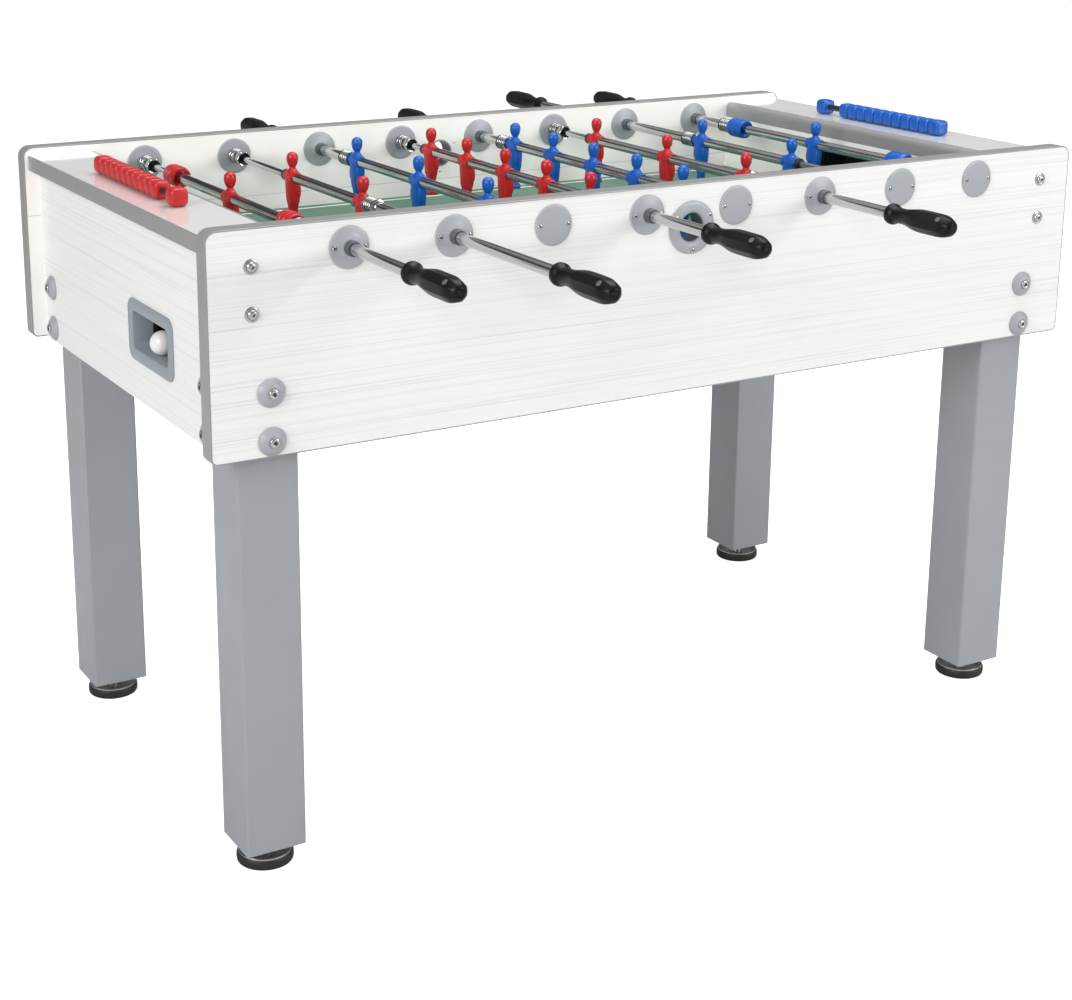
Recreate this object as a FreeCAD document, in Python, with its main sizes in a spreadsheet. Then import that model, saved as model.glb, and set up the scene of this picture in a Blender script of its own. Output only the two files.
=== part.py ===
"""Foosball table: a free-standing cabinet on four legs, eight telescopic player rods, two bead scorers.

Frame: X runs along the table's length, Y across it (the red team's handles are at -Y), Z is up.
The origin is on the floor, under the middle of the table.  Millimetres.
"""
import FreeCAD, Part

import math
import os
import re

import Sketcher

doc = FreeCAD.newDocument("foosball_table")
sheet = doc.addObject("Spreadsheet::Sheet", "Dimensions")

# ---------------------------------------------------------------- driving dimensions
DIMENSIONS = [
    # cabinet
    ("cab_length", 1435.0, "length of the long side panels"),
    ("cab_width", 760.0, "outside width over the side panels"),
    ("cab_height", 890.0, "floor to the top of the side panels"),
    ("panel_height", 296.0, "height of the side panels"),
    ("panel_thick", 28.0, "thickness of the side panels"),
    ("band_thick", 2.0, "thickness of the edge band round a side panel"),
    ("top_corner", 16.0, "corner radius at a side panel's top"),
    ("low_corner", 9.0, "corner radius at a side panel's bottom"),
    ("end_recess", 23.5, "how far the end panels sit in from the side panels' ends"),
    ("end_thick", 21.0, "thickness of the end panels"),
    ("floor_thick", 12.0, "thickness of the bottom board"),
    ("floor_lift", 4.0, "bottom board above the panels' lower edge"),
    # playing field and its end walls
    ("field_length", 1200.0, "length of the playing field between the end walls"),
    ("field_drop", 130.0, "panel top down to the playing surface"),
    ("field_thick", 12.0, "thickness of the field board"),
    ("wall_thick", 18.0, "thickness of the end walls behind the goals"),
    ("goal_width", 200.0, "width of a goal mouth"),
    ("goal_height", 74.0, "height of a goal mouth above the field"),
    ("block_side", 30.0, "side of the square corner blocks"),
    # end shelves
    ("shelf_drop", 12.0, "panel top down to the shelf's upper face"),
    ("shelf_thick", 23.0, "thickness of the shelves"),
    ("shelf_overhang", 16.0, "shelf beyond the end panel's outer face"),
    ("cap_thick", 3.0, "thickness of the band on a shelf's outer edge"),
    ("nose_depth", 12.0, "depth of the rounded strip on a shelf's inner edge"),
    ("nose_height", 27.0, "height of the rounded strip"),
    # player rods
    ("rod_pitch", 150.0, "distance from rod to rod"),
    ("rod_drop", 37.0, "panel top down to the rods' axis"),
    ("tube_diameter", 16.0, "outside of the sliding tubes"),
    ("inner_diameter", 10.0, "outside of the telescopic inner rods"),
    ("run_clearance", 0.08, "radial running clearance of a rod in its bore"),
    ("sleeve_wall", 1.92, "wall of the bearing sleeves"),
    ("sleeve_nose", 18.0, "bearing sleeve beyond each face of its panel"),
    ("disc_diameter", 56.0, "bearing flanges and cover discs"),
    ("disc_thick", 3.0, "thickness of a cover disc, and of a flange at its rim"),
    ("flange_crown", 7.0, "height of a flange at its middle"),
    ("disc_screw_span", 43.0, "distance between the two screws of a disc"),
    ("collar_length", 38.0, "stop collar on the inner rod at the wall"),
    ("collar_diameter", 24.0, "outside of the round part of the stop collar"),
    ("nut_width", 22.0, "across the flats of the stop collar's nut"),
    ("engagement", 90.0, "inner rod left inside the tube at full reach"),
    ("spring_length", 30.0, "bumper spring"),
    ("spring_diameter", 24.0, "outside of the bumper spring"),
    ("spring_wire", 3.2, "wire of the bumper spring"),
    ("end_ring", 8.0, "length of the black ring on a tube's open end"),
    ("tube_margin", 2.0, "tube beyond the outermost figure"),
    ("face_gap", 0.4, "gap between faces that turn on each other"),
    # handles
    ("handle_length", 124.0, "length of a handle"),
    ("handle_diameter", 32.0, "widest part of a handle"),
    ("handle_collar", 29.0, "diameter of the collar at a handle's inner end"),
    ("handle_waist", 21.5, "narrowest part of a handle"),
    ("reach_keeper", 170.0, "panel to handle on a keeper rod at mid travel"),
    ("reach_two", 259.0, "panel to handle on a two-figure rod at mid travel"),
    ("reach_three", 156.0, "panel to handle on a three-figure rod at mid travel"),
    ("reach_five", 146.0, "panel to handle on a five-figure rod at mid travel"),
    # figures
    ("man_pitch_two", 240.0, "figure to figure on a two-figure rod"),
    ("man_pitch_three", 208.0, "figure to figure on a three-figure rod"),
    ("man_pitch_five", 120.0, "figure to figure on a five-figure rod, in a field of the width below"),
    ("pitch_room", 352.0, "half the inside width that the five-figure pitch is set for"),
    ("man_width", 32.0, "across a figure's shoulders"),
    ("man_depth", 22.0, "through a figure's chest"),
    ("head_top", 38.0, "rod axis up to the top of a head"),
    ("head_diameter", 18.0, "diameter of a head"),
    ("foot_drop", 72.0, "rod axis down to the sole"),
    ("limiter_pitch", 418.0, "distance between a keeper rod's two limiters"),
    ("limiter_length", 40.0, "length of a limiter"),
    ("limiter_diameter", 33.0, "diameter of a limiter"),
    # legs and feet
    ("leg_side", 86.0, "side of the square legs"),
    ("leg_corner", 4.0, "rounding of a leg's long edges"),
    ("leg_rise", 128.0, "leg top above the panels' lower edge"),
    ("leg_gap", 31.0, "floor to the lower end of a leg"),
    ("foot_diameter", 78.0, "diameter of a levelling foot"),
    ("foot_thick", 17.0, "height of a foot's rubber puck"),
    ("stem_diameter", 12.0, "threaded stem of a foot"),
    ("stem_length", 75.0, "top of the puck to the end of the stem"),
    ("stem_room", 0.4, "radial room round a stem in its leg"),
    # fasteners
    ("bolt_inset", 38.0, "leg bolts in from the leg's two outer faces"),
    ("bolt_high", 84.5, "upper leg bolts above the panels' lower edge"),
    ("bolt_low", 21.0, "lower leg bolts above the panels' lower edge"),
    ("bolt_diameter", 8.0, "leg bolt"),
    ("bolt_grip", 26.0, "leg bolt inside the leg"),
    ("washer_diameter", 38.0, "conical washer under a leg bolt"),
    ("washer_height", 8.0, "height of the conical washer"),
    ("screw_inset", 59.5, "panel screws in from the panel's ends"),
    ("screw_high", 48.5, "upper panel screws below the panel top"),
    ("screw_low", 108.5, "lower panel screws below the panel top"),
    ("screw_washer", 20.0, "washer of a panel screw"),
    ("screw_shank", 4.0, "shank of a panel screw"),
    ("disc_screw", 3.0, "shank of a disc screw"),
    # ball entry, ball return and ball
    ("entry_diameter", 75.0, "flange of a ball entry cup"),
    ("entry_bore", 40.0, "free bore of a ball entry cup"),
    ("entry_drop", 61.5, "panel top down to the entry's axis"),
    ("tray_width", 167.0, "outside width of a ball return bezel"),
    ("tray_height", 87.0, "outside height of a ball return bezel"),
    ("tray_rim", 17.5, "width of the bezel's rim"),
    ("tray_depth", 30.0, "depth of the tray from the panel's face"),
    ("tray_wall", 2.5, "wall of the tray"),
    ("tray_offset", 117.0, "middle of the tray from the table's middle"),
    ("tray_lift", 101.5, "middle of the tray above the panels' lower edge"),
    ("trough_width", 57.0, "outside width of a ball trough"),
    ("hood_wall", 3.0, "wall of the goal hoods and ball troughs"),
    ("ball_diameter", 34.0, "ball"),
    # scorers
    ("scorer_inset", 49.0, "scorer's axis from the shelf's outer edge"),
    ("knob_diameter", 26.0, "end knobs of a scorer"),
    ("bead_side", 24.0, "side of the square beads"),
    ("bead_length", 22.4, "length of a bead"),
    ("bead_gap", 0.2, "gap between beads"),
    ("bead_count", 10.0, "beads on a scorer"),
    ("score_gap", 36.0, "free length of a scorer's rod"),
    ("scorer_rod", 10.0, "diameter of a scorer's rod"),
]

for row, (alias, value, note) in enumerate(DIMENSIONS, start=1):
    sheet.set(f"A{row}", alias)
    sheet.set(f"B{row}", str(value))
    sheet.set(f"C{row}", note)
    sheet.setAlias(f"B{row}", alias)
doc.recompute()

ALIASES = {alias for alias, _, _ in DIMENSIONS}

# ---------------------------------------------------------------- places worked out from the sheet
PANEL_LOW = "(cab_height - panel_height)"
INNER_HALF = "(cab_width / 2 - panel_thick)"
ROD_Z = "(cab_height - rod_drop)"
# five figures fill the width, so they close up or open out with the room between the side panels
PITCH_FIVE = f"(man_pitch_five + ({INNER_HALF} - pitch_room) / 2)"
FIELD_Z = "(cab_height - field_drop)"
SHELF_TOP = "(cab_height - shelf_drop)"
SHELF_LOW = "(cab_height - shelf_drop - shelf_thick)"
WALL_TOP = "(cab_height - shelf_drop - nose_height)"
END_OUT = "(cab_length / 2 - end_recess)"
END_IN = "(cab_length / 2 - end_recess - end_thick)"
SHELF_OUT = "(cab_length / 2 - end_recess + shelf_overhang)"
WALL_IN = "(field_length / 2)"
WALL_OUT = "(field_length / 2 + wall_thick)"
LEG_X = f"({END_IN} - leg_side / 2)"
LEG_Y = f"({INNER_HALF} - leg_side / 2)"
ENTRY_Z = "(cab_height - entry_drop)"
TRAY_Z = f"({PANEL_LOW} + tray_lift)"
TRAY_OPEN_WIDTH = "(tray_width - 2 * tray_rim)"
TRAY_OPEN_HEIGHT = "(tray_height - 2 * tray_rim)"
TRAY_OUTER_WIDTH = "(tray_width - 2 * tray_rim + 2 * tray_wall)"
TRAY_OUTER_HEIGHT = "(tray_height - 2 * tray_rim + 2 * tray_wall)"
TRAY_BACK = f"({END_OUT} - tray_depth)"
SLEEVE_BORE = "(tube_diameter / 2 + run_clearance)"
SLEEVE_RADIUS = f"({SLEEVE_BORE} + sleeve_wall)"
TUBE_BORE = "(inner_diameter / 2 + run_clearance)"
SCORER_X = f"({SHELF_OUT} - scorer_inset)"
SCORER_Z = f"({SHELF_TOP} + knob_diameter / 2)"
BEAD_PITCH = "(bead_length + bead_gap)"
BEAD_ROW = f"(bead_count * {BEAD_PITCH} + bead_gap)"
SCORER_HALF = f"(({BEAD_ROW} + score_gap) / 2 + knob_diameter)"

Y_AXIS = FreeCAD.Rotation(FreeCAD.Vector(1, 0, 0), -90)     # turns +Z to +Y
X_AXIS = FreeCAD.Rotation(FreeCAD.Vector(0, 1, 0), 90)      # turns +Z to +X
Z_AXIS = FreeCAD.Rotation()
HALF_TURN = FreeCAD.Rotation(FreeCAD.Vector(0, 0, 1), 180)


def formula(text):
    """Writes the sheet's name in front of every alias in a formula."""
    def full(match):
        word = match.group(0)
        return "Dimensions." + word if word in ALIASES else word
    return re.sub(r"[a-z_]+", full, str(text))


def size(text):
    """The present value of a formula of aliases."""
    def value(match):
        word = match.group(0)
        return str(float(getattr(sheet, word))) if word in ALIASES else word
    plain = re.sub(r"[a-z_]+", value, str(text))
    return float(FreeCAD.Units.Quantity(plain).Value)


def place(obj, x=0, y=0, z=0, turn=Z_AXIS):
    """Puts an object at formulas of aliases, turned."""
    obj.Placement = FreeCAD.Placement(FreeCAD.Vector(), turn)
    for axis, text in (("x", x), ("y", y), ("z", z)):
        obj.setExpression(f".Placement.Base.{axis}", formula(text))
    return obj


def box(name, length, width, height, x, y, z):
    """A box from its low corner."""
    made = doc.addObject("Part::Box", name)
    for prop, text in (("Length", length), ("Width", width), ("Height", height)):
        made.setExpression(prop, formula(text))
    return place(made, x, y, z)


def rod(name, radius, length, x, y, z, turn=Z_AXIS):
    """A round bar that starts at a point and runs along the turned Z."""
    made = doc.addObject("Part::Cylinder", name)
    made.setExpression("Radius", formula(radius))
    made.setExpression("Height", formula(length))
    return place(made, x, y, z, turn)


def copy(name, source, x=0, y=0, z=0, turn=Z_AXIS):
    """One more of a piece that is drawn about the origin."""
    made = doc.addObject("App::Link", name)
    made.LinkedObject = source
    return place(made, x, y, z, turn)


def group(label, pieces):
    """Several solids in one node."""
    made = doc.addObject("Part::Compound", label)
    made.Links = pieces
    return made


def cut(label, base, tools):
    """A piece with other shapes taken out of it."""
    cutter = tools[0]
    if len(tools) > 1:
        cutter = doc.addObject("Part::Compound", label + "_cutter")
        cutter.Links = tools
    made = doc.addObject("Part::Cut", label)
    made.Base = base
    made.Tool = cutter
    made.Refine = True
    return made


def fuse(label, pieces):
    """Pieces that are made in one."""
    made = doc.addObject("Part::MultiFuse", label)
    made.Shapes = pieces
    return made


def plane_of(body, role):
    """One of a body's own origin planes."""
    for feature in body.Origin.OriginFeatures:
        if feature.Role == role:
            return feature
    raise ValueError(role)


def sketch_on(body, name, role):
    """An empty sketch on one of a body's origin planes."""
    made = body.newObject("Sketcher::SketchObject", name)
    made.AttachmentSupport = [(plane_of(body, role), "")]
    made.MapMode = "FlatFace"
    return made


def outline(sketch, points):
    """A closed outline of straight lines through (x, y) formulas, each corner bound to the sheet."""
    spots = [FreeCAD.Vector(size(x), size(y), 0) for x, y in points]
    count = len(spots)
    for i in range(count):
        sketch.addGeometry(Part.LineSegment(spots[i], spots[(i + 1) % count]), False)
    for i in range(count):
        sketch.addConstraint(Sketcher.Constraint("Coincident", i, 2, (i + 1) % count, 1))
    for i, (x, y) in enumerate(points):
        for kind, text, spot in (("DistanceX", x, spots[i].x), ("DistanceY", y, spots[i].y)):
            number = sketch.addConstraint(Sketcher.Constraint(kind, -1, 1, i, 1, spot))
            sketch.setExpression(f"Constraints[{number}]", formula(text))


def turned(name, points):
    """A body turned about Z from an (r, z) outline."""
    body = doc.addObject("PartDesign::Body", name)
    profile = sketch_on(body, name + "_profile", "XZ_Plane")
    outline(profile, points)
    doc.recompute()
    revolution = body.newObject("PartDesign::Revolution", name + "_turn")
    revolution.Profile = profile
    revolution.ReferenceAxis = (profile, ["V_Axis"])
    revolution.Angle = 360.0
    body.Tip = revolution
    return body


def rounded_board(name, length, height, corner_low, corner_top, depth):
    """A board in the XZ plane, Y from 0 to depth, with rounded corners."""
    body = doc.addObject("PartDesign::Body", name)
    sketch = sketch_on(body, name + "_outline", "XZ_Plane")
    half = f"({length}) / 2"
    corners = [
        (f"-({half})", f"-({height}) / 2", corner_low, 180),
        (half, f"-({height}) / 2", corner_low, 270),
        (half, f"({height}) / 2", corner_top, 0),
        (f"-({half})", f"({height}) / 2", corner_top, 90),
    ]
    arcs = []
    for x, y, corner, start in corners:
        radius = size(corner)
        x_side = 1 if size(x) > 0 else -1
        y_side = 1 if size(y) > 0 else -1
        centre = FreeCAD.Vector(size(x) - x_side * radius, size(y) - y_side * radius, 0)
        circle = Part.Circle(centre, FreeCAD.Vector(0, 0, 1), radius)
        arc = Part.ArcOfCircle(circle, math.radians(start), math.radians(start + 90))
        arcs.append(sketch.addGeometry(arc, False))
        number = sketch.addConstraint(Sketcher.Constraint("Radius", arcs[-1], radius))
        sketch.setExpression(f"Constraints[{number}]", formula(corner))
        for kind, text, side in (("DistanceX", x, x_side), ("DistanceY", y, y_side)):
            spot = centre.x if kind == "DistanceX" else centre.y
            number = sketch.addConstraint(Sketcher.Constraint(kind, -1, 1, arcs[-1], 3, spot))
            sketch.setExpression(f"Constraints[{number}]", formula(f"{text} - ({side}) * ({corner})"))
    for i in range(4):
        first = sketch.Geometry[arcs[i]].EndPoint
        second = sketch.Geometry[arcs[(i + 1) % 4]].StartPoint
        line = sketch.addGeometry(Part.LineSegment(first, second), False)
        sketch.addConstraint(Sketcher.Constraint("Tangent", arcs[i], 2, line, 1))
        sketch.addConstraint(Sketcher.Constraint("Tangent", line, 2, arcs[(i + 1) % 4], 1))
    pad = body.newObject("PartDesign::Pad", name + "_pad")
    pad.Profile = sketch
    pad.Reversed = True
    pad.setExpression("Length", formula(depth))
    body.Tip = pad
    return body


# ---------------------------------------------------------------- the eight rods
# name, place along the table, handle side (-1 near, +1 far), figures, park offset, reach, figure pitch
RODS = [
    ("red_keeper", -3.5, -1, 1, 4, "reach_keeper", "0"),
    ("red_defence", -2.5, -1, 2, 4, "reach_two", "man_pitch_two"),
    ("blue_attack", -1.5, 1, 3, 2, "reach_three", "man_pitch_three"),
    ("red_midfield", -0.5, -1, 5, 3, "reach_five", PITCH_FIVE),
    ("blue_midfield", 0.5, 1, 5, -12, "reach_five", PITCH_FIVE),
    ("red_attack", 1.5, -1, 3, 4, "reach_three", "man_pitch_three"),
    ("blue_defence", 2.5, 1, 2, -4, "reach_two", "man_pitch_two"),
    ("blue_keeper", 3.5, 1, 1, 2, "reach_keeper", "0"),
]
SIDES = [("near", -1), ("far", 1)]
ENDS = [("left", -1), ("right", 1)]
nodes = []


def node(label, obj):
    """Names a finished piece and puts it on the list of files."""
    obj.Label = label
    nodes.append(obj)
    return obj


def rod_x(place_number):
    """Where a rod stands along the table."""
    return f"({place_number}) * rod_pitch"


# ---------------------------------------------------------------- side panels and their edge bands
CORE_LENGTH = "cab_length - 2 * band_thick"
CORE_HEIGHT = "panel_height - 2 * band_thick"
panel_mid_z = f"{PANEL_LOW} + panel_height / 2"
bands = []
for side, sign in SIDES:
    face = f"({sign}) * cab_width / 2"
    low_y = face if sign < 0 else f"{INNER_HALF}"
    board = rounded_board(f"{side}_board", CORE_LENGTH, CORE_HEIGHT, "low_corner - band_thick",
                          "top_corner - band_thick", "panel_thick")
    rim = rounded_board(f"{side}_rim", "cab_length", "panel_height", "low_corner", "top_corner",
                        "panel_thick")
    core = rounded_board(f"{side}_rim_core", CORE_LENGTH, CORE_HEIGHT, "low_corner - band_thick",
                         "top_corner - band_thick", "panel_thick")
    for body in (board, rim, core):
        place(body, 0, low_y, panel_mid_z)
    bands.append(cut(f"{side}_band", rim, [core]))

    holes = []
    for name, number, handle, *_ in RODS:
        x = rod_x(number)
        if handle == sign:
            holes.append(rod(f"{side}_{name}_hole", SLEEVE_RADIUS, "panel_thick", x, low_y, ROD_Z,
                             Y_AXIS))
        else:
            holes.append(rod(f"{side}_{name}_hole", "inner_diameter / 2 + 1", "panel_thick", x, low_y,
                             ROD_Z, Y_AXIS))
            recess_y = face if sign < 0 else f"{face} - panel_thick / 2"
            holes.append(rod(f"{side}_{name}_recess", "nut_width * 0.6", "panel_thick / 2", x, recess_y,
                             ROD_Z, Y_AXIS))
        for turn in (-1, 1):
            screw_x = f"{x} + ({turn}) * disc_screw_span / 2"
            holes.append(rod(f"{side}_{name}_pilot", "disc_screw / 2", "panel_thick", screw_x, low_y, ROD_Z,
                             Y_AXIS))
    holes.append(rod(f"{side}_entry_hole", "entry_bore / 2 + disc_thick", "panel_thick", 0, low_y, ENTRY_Z,
                     Y_AXIS))
    for angle in (-90, 30, 150):
        x = f"entry_diameter * 0.42 * {math.cos(math.radians(angle)):.4f}"
        z = f"{ENTRY_Z} + entry_diameter * 0.42 * {math.sin(math.radians(angle)):.4f}"
        holes.append(rod(f"{side}_entry_pilot", "disc_screw / 2", "panel_thick", x, low_y, z, Y_AXIS))
    for end, end_sign in ENDS:
        for lift in ("bolt_high", "bolt_low"):
            x = f"({end_sign}) * ({END_IN} - bolt_inset)"
            holes.append(rod(f"{side}_{end}_{lift}_hole", "bolt_diameter / 2", "panel_thick", x, low_y,
                             f"{PANEL_LOW} + {lift}", Y_AXIS))
        for drop in ("screw_high", "screw_low"):
            x = f"({end_sign}) * (cab_length / 2 - screw_inset)"
            holes.append(rod(f"{side}_{end}_{drop}_hole", "screw_shank / 2", "panel_thick", x, low_y,
                             f"cab_height - {drop}", Y_AXIS))
    node(f"{side}_side_panel", cut(f"{side}_panel_cut", board, holes))

# ---------------------------------------------------------------- end panels and shelves
END_HEIGHT = f"({SHELF_LOW} - {PANEL_LOW})"
noses = []
for end, sign in ENDS:
    low_x = f"-{END_OUT}" if sign < 0 else END_IN
    board = box(f"{end}_end_board", "end_thick", f"2 * {INNER_HALF}", END_HEIGHT, low_x, f"-{INNER_HALF}",
                PANEL_LOW)
    window = box(f"{end}_window", "end_thick", TRAY_OUTER_WIDTH, TRAY_OUTER_HEIGHT, low_x,
                 f"({sign}) * tray_offset - {TRAY_OUTER_WIDTH} / 2", f"{TRAY_Z} - {TRAY_OUTER_HEIGHT} / 2")
    holes = [window]
    for side, side_sign in SIDES:
        for lift in ("bolt_high", "bolt_low"):
            y = f"({side_sign}) * ({INNER_HALF} - bolt_inset)"
            holes.append(rod(f"{end}_{side}_{lift}_end_hole", "bolt_diameter / 2", "end_thick", low_x, y,
                             f"{PANEL_LOW} + {lift}", X_AXIS))
    node(f"{end}_end_panel", cut(f"{end}_end_cut", board, holes))

    slab_length = f"({SHELF_OUT} - cap_thick - {WALL_IN} - nose_depth)"
    slab_low = f"-{SHELF_OUT} + cap_thick" if sign < 0 else f"{WALL_IN} + nose_depth"
    node(f"{end}_end_shelf", box(f"{end}_slab", slab_length, f"2 * {INNER_HALF}", "shelf_thick", slab_low,
                                 f"-{INNER_HALF}", SHELF_LOW))
    cap_low = f"-{SHELF_OUT}" if sign < 0 else f"{SHELF_OUT} - cap_thick"
    noses.append(box(f"{end}_cap", "cap_thick", f"2 * {INNER_HALF}", "shelf_thick", cap_low,
                     f"-{INNER_HALF}", SHELF_LOW))
    strip_low = f"-{WALL_IN} - nose_depth" if sign < 0 else WALL_IN
    strip = box(f"{end}_strip", "nose_depth", f"2 * {INNER_HALF}", "nose_height", strip_low,
                f"-{INNER_HALF}", WALL_TOP)
    rounded = doc.addObject("Part::Fillet", f"{end}_nose")
    rounded.Base = strip
    doc.recompute()
    for number, edge in enumerate(strip.Shape.Edges, start=1):
        bound = edge.BoundBox
        inner = abs(bound.XMin - sign * size(WALL_IN)) < 0.01
        if bound.YLength > 1 and inner and bound.ZMin > size(SHELF_TOP) - 0.01:
            rounded.Edges = [(number, size("nose_depth - 1"), size("nose_depth - 1"))]
    noses.append(rounded)
node("panel_edge_bands", group("edge_band_group", bands + noses))

# ---------------------------------------------------------------- bottom board, field, end walls
legs_at = [(f"{end}_{side}", x_sign, y_sign) for end, x_sign in ENDS for side, y_sign in SIDES]

floor_board = box("floor_board", f"2 * {END_IN}", f"2 * {INNER_HALF}", "floor_thick", f"-{END_IN}",
                  f"-{INNER_HALF}", f"{PANEL_LOW} + floor_lift")
notches = []
for name, x_sign, y_sign in legs_at:
    x = END_IN + " - leg_side" if x_sign > 0 else f"-{END_IN}"
    y = INNER_HALF + " - leg_side" if y_sign > 0 else f"-{INNER_HALF}"
    notches.append(box(f"{name}_notch", "leg_side", "leg_side", "floor_thick", x, y,
                       f"{PANEL_LOW} + floor_lift"))
node("bottom_board", cut("floor_cut", floor_board, notches))

node("playfield", box("field_board", f"2 * {WALL_OUT}", f"2 * {INNER_HALF}", "field_thick", f"-{WALL_OUT}",
                      f"-{INNER_HALF}", f"{FIELD_Z} - field_thick"))

right_wall = box("right_wall_board", "wall_thick", f"2 * {INNER_HALF}", f"{WALL_TOP} - {FIELD_Z}", WALL_IN,
                 f"-{INNER_HALF}", FIELD_Z)
mouth = box("goal_mouth", "wall_thick", "goal_width", "goal_height", WALL_IN, "-goal_width / 2", FIELD_Z)
wall = cut("right_wall", right_wall, [mouth])
block_low = "(cab_height - screw_low - block_side * 0.7)"
blocks = []
for side, sign in SIDES:
    y = f"{INNER_HALF} - block_side" if sign > 0 else f"-{INNER_HALF}"
    block = box(f"{side}_block", "block_side", "block_side", f"{SHELF_LOW} - {block_low}",
                f"{END_IN} - block_side", y, block_low)
    pilots = []
    for drop in ("screw_high", "screw_low"):
        pilot_y = f"{INNER_HALF} - block_side * 0.8" if sign > 0 else f"-{INNER_HALF}"
        pilots.append(rod(f"{side}_{drop}_pilot", "screw_shank / 2", "block_side * 0.8",
                          "cab_length / 2 - screw_inset", pilot_y, f"cab_height - {drop}", Y_AXIS))
    blocks.append(cut(f"{side}_corner_block", block, pilots))
right_frame = group("right_frame", [wall, *blocks])
node("goal_walls", group("goal_wall_group", [right_frame, copy("left_frame", right_frame, turn=HALF_TURN)]))

# ---------------------------------------------------------------- goal hoods, ball troughs, ball trays
hood_low = f"({FIELD_Z} - field_thick)"
hood = cut("right_hood", box("hood_shell", f"{END_IN} - {WALL_OUT}", "goal_width + 2 * hood_wall",
                             f"{FIELD_Z} + goal_height + hood_wall - {hood_low}", WALL_OUT,
                             "-goal_width / 2 - hood_wall", hood_low),
           [box("hood_room", f"{END_IN} - {WALL_OUT} - hood_wall", "goal_width",
                f"{FIELD_Z} + goal_height - {hood_low}", WALL_OUT, "-goal_width / 2", hood_low)])
trough_low = f"({TRAY_Z} - {TRAY_OUTER_HEIGHT} / 2)"
trough_y = "(-goal_width / 2 - hood_wall)"
trough_span = f"(tray_offset + {TRAY_OPEN_WIDTH} / 2 + goal_width / 2 + 2 * hood_wall)"
trough_high = f"({hood_low} - hood_wall)"
trough = cut("right_trough",
             box("trough_shell", "trough_width", trough_span, f"{trough_high} - {trough_low}",
                 f"{TRAY_BACK} - trough_width", trough_y, trough_low),
             [box("trough_room", "trough_width - 2 * hood_wall", f"{trough_span} - 2 * hood_wall",
                  f"{trough_high} - {trough_low}", f"{TRAY_BACK} - trough_width + hood_wall",
                  f"{trough_y} + hood_wall", f"{trough_low} + tray_wall"),
              box("trough_door", "hood_wall", TRAY_OPEN_WIDTH, TRAY_OPEN_HEIGHT, f"{TRAY_BACK} - hood_wall",
                  f"tray_offset - {TRAY_OPEN_WIDTH} / 2", f"{TRAY_Z} - {TRAY_OPEN_HEIGHT} / 2")])
right_return = group("right_return", [hood, trough])
node("goal_hoods", group("goal_hood_group",
                         [right_return, copy("left_return", right_return, turn=HALF_TURN)]))

bezel = rounded_board("bezel_plate", "tray_width", "tray_height", "leg_side * 0.2", "leg_side * 0.2",
                      "disc_thick")
place(bezel, f"{END_OUT} + disc_thick", "tray_offset", TRAY_Z,
      FreeCAD.Rotation(FreeCAD.Vector(0, 0, 1), 90))
sleeve = box("tray_shell", "tray_depth", TRAY_OUTER_WIDTH, TRAY_OUTER_HEIGHT, TRAY_BACK,
             f"tray_offset - {TRAY_OUTER_WIDTH} / 2", f"{TRAY_Z} - {TRAY_OUTER_HEIGHT} / 2")
tray_room = box("tray_room", "tray_depth + 2 * disc_thick", TRAY_OPEN_WIDTH, TRAY_OPEN_HEIGHT, TRAY_BACK,
                f"tray_offset - {TRAY_OPEN_WIDTH} / 2", f"{TRAY_Z} - {TRAY_OPEN_HEIGHT} / 2")
tray = cut("right_tray", fuse("tray_solid", [bezel, sleeve]), [tray_room])
node("ball_return_trays", group("tray_group", [tray, copy("left_tray", tray, turn=HALF_TURN)]))

# ---------------------------------------------------------------- ball entry cups
cup_body = turned("cup_body", [
    ("entry_bore / 2", "-panel_thick"),
    ("entry_bore / 2 + disc_thick", "-panel_thick"),
    ("entry_bore / 2 + disc_thick", "0"),
    ("entry_diameter / 2", "0"),
    ("entry_diameter / 2", "disc_thick / 2"),
    ("entry_diameter / 2 - disc_thick", "flange_crown * 0.6"),
    ("entry_bore / 2 + disc_thick / 2", "flange_crown * 0.6"),
    ("entry_bore / 2", "0"),
])
cup_pilots = []
for angle in (-90, 30, 150):
    cup_pilots.append(rod("cup_pilot", "disc_screw / 2", "flange_crown",
                          f"entry_diameter * 0.42 * {math.cos(math.radians(angle)):.4f}",
                          f"entry_diameter * 0.42 * {math.sin(math.radians(angle)):.4f}", 0))
cup = cut("entry_cup", cup_body, cup_pilots)
TO_NEAR = FreeCAD.Rotation(FreeCAD.Vector(1, 0, 0), 90)
TO_FAR = FreeCAD.Rotation(FreeCAD.Vector(0, 0, 1), 180).multiply(TO_NEAR)
OUTWARD = {-1: TO_NEAR, 1: TO_FAR}
cups = [copy(f"{side}_cup", cup, 0, f"({sign}) * cab_width / 2", ENTRY_Z, OUTWARD[sign])
        for side, sign in SIDES]
node("ball_entry_cups", group("cup_group", cups))

# ---------------------------------------------------------------- bearings and cover discs
flange_body = turned("flange_body", [
    (SLEEVE_RADIUS, "0"),
    ("disc_diameter / 2", "0"),
    ("disc_diameter / 2", "disc_thick * 0.6"),
    ("disc_diameter / 2 - disc_thick", "disc_thick"),
    (f"{SLEEVE_RADIUS} + 2 * disc_thick", "disc_thick"),
    (f"{SLEEVE_RADIUS} + disc_thick", "flange_crown"),
    (SLEEVE_RADIUS, "flange_crown"),
])
disc_body = turned("disc_body", [
    ("0", "0"),
    ("disc_diameter / 2", "0"),
    ("disc_diameter / 2", "disc_thick * 0.6"),
    ("disc_diameter / 2 - disc_thick * 0.5", "disc_thick"),
    ("0", "disc_thick"),
])
inner_disc = cut("inner_disc", disc_body, [rod("inner_disc_hole", "inner_diameter / 2 + 1", "disc_thick",
                                               0, 0, 0)])


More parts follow.
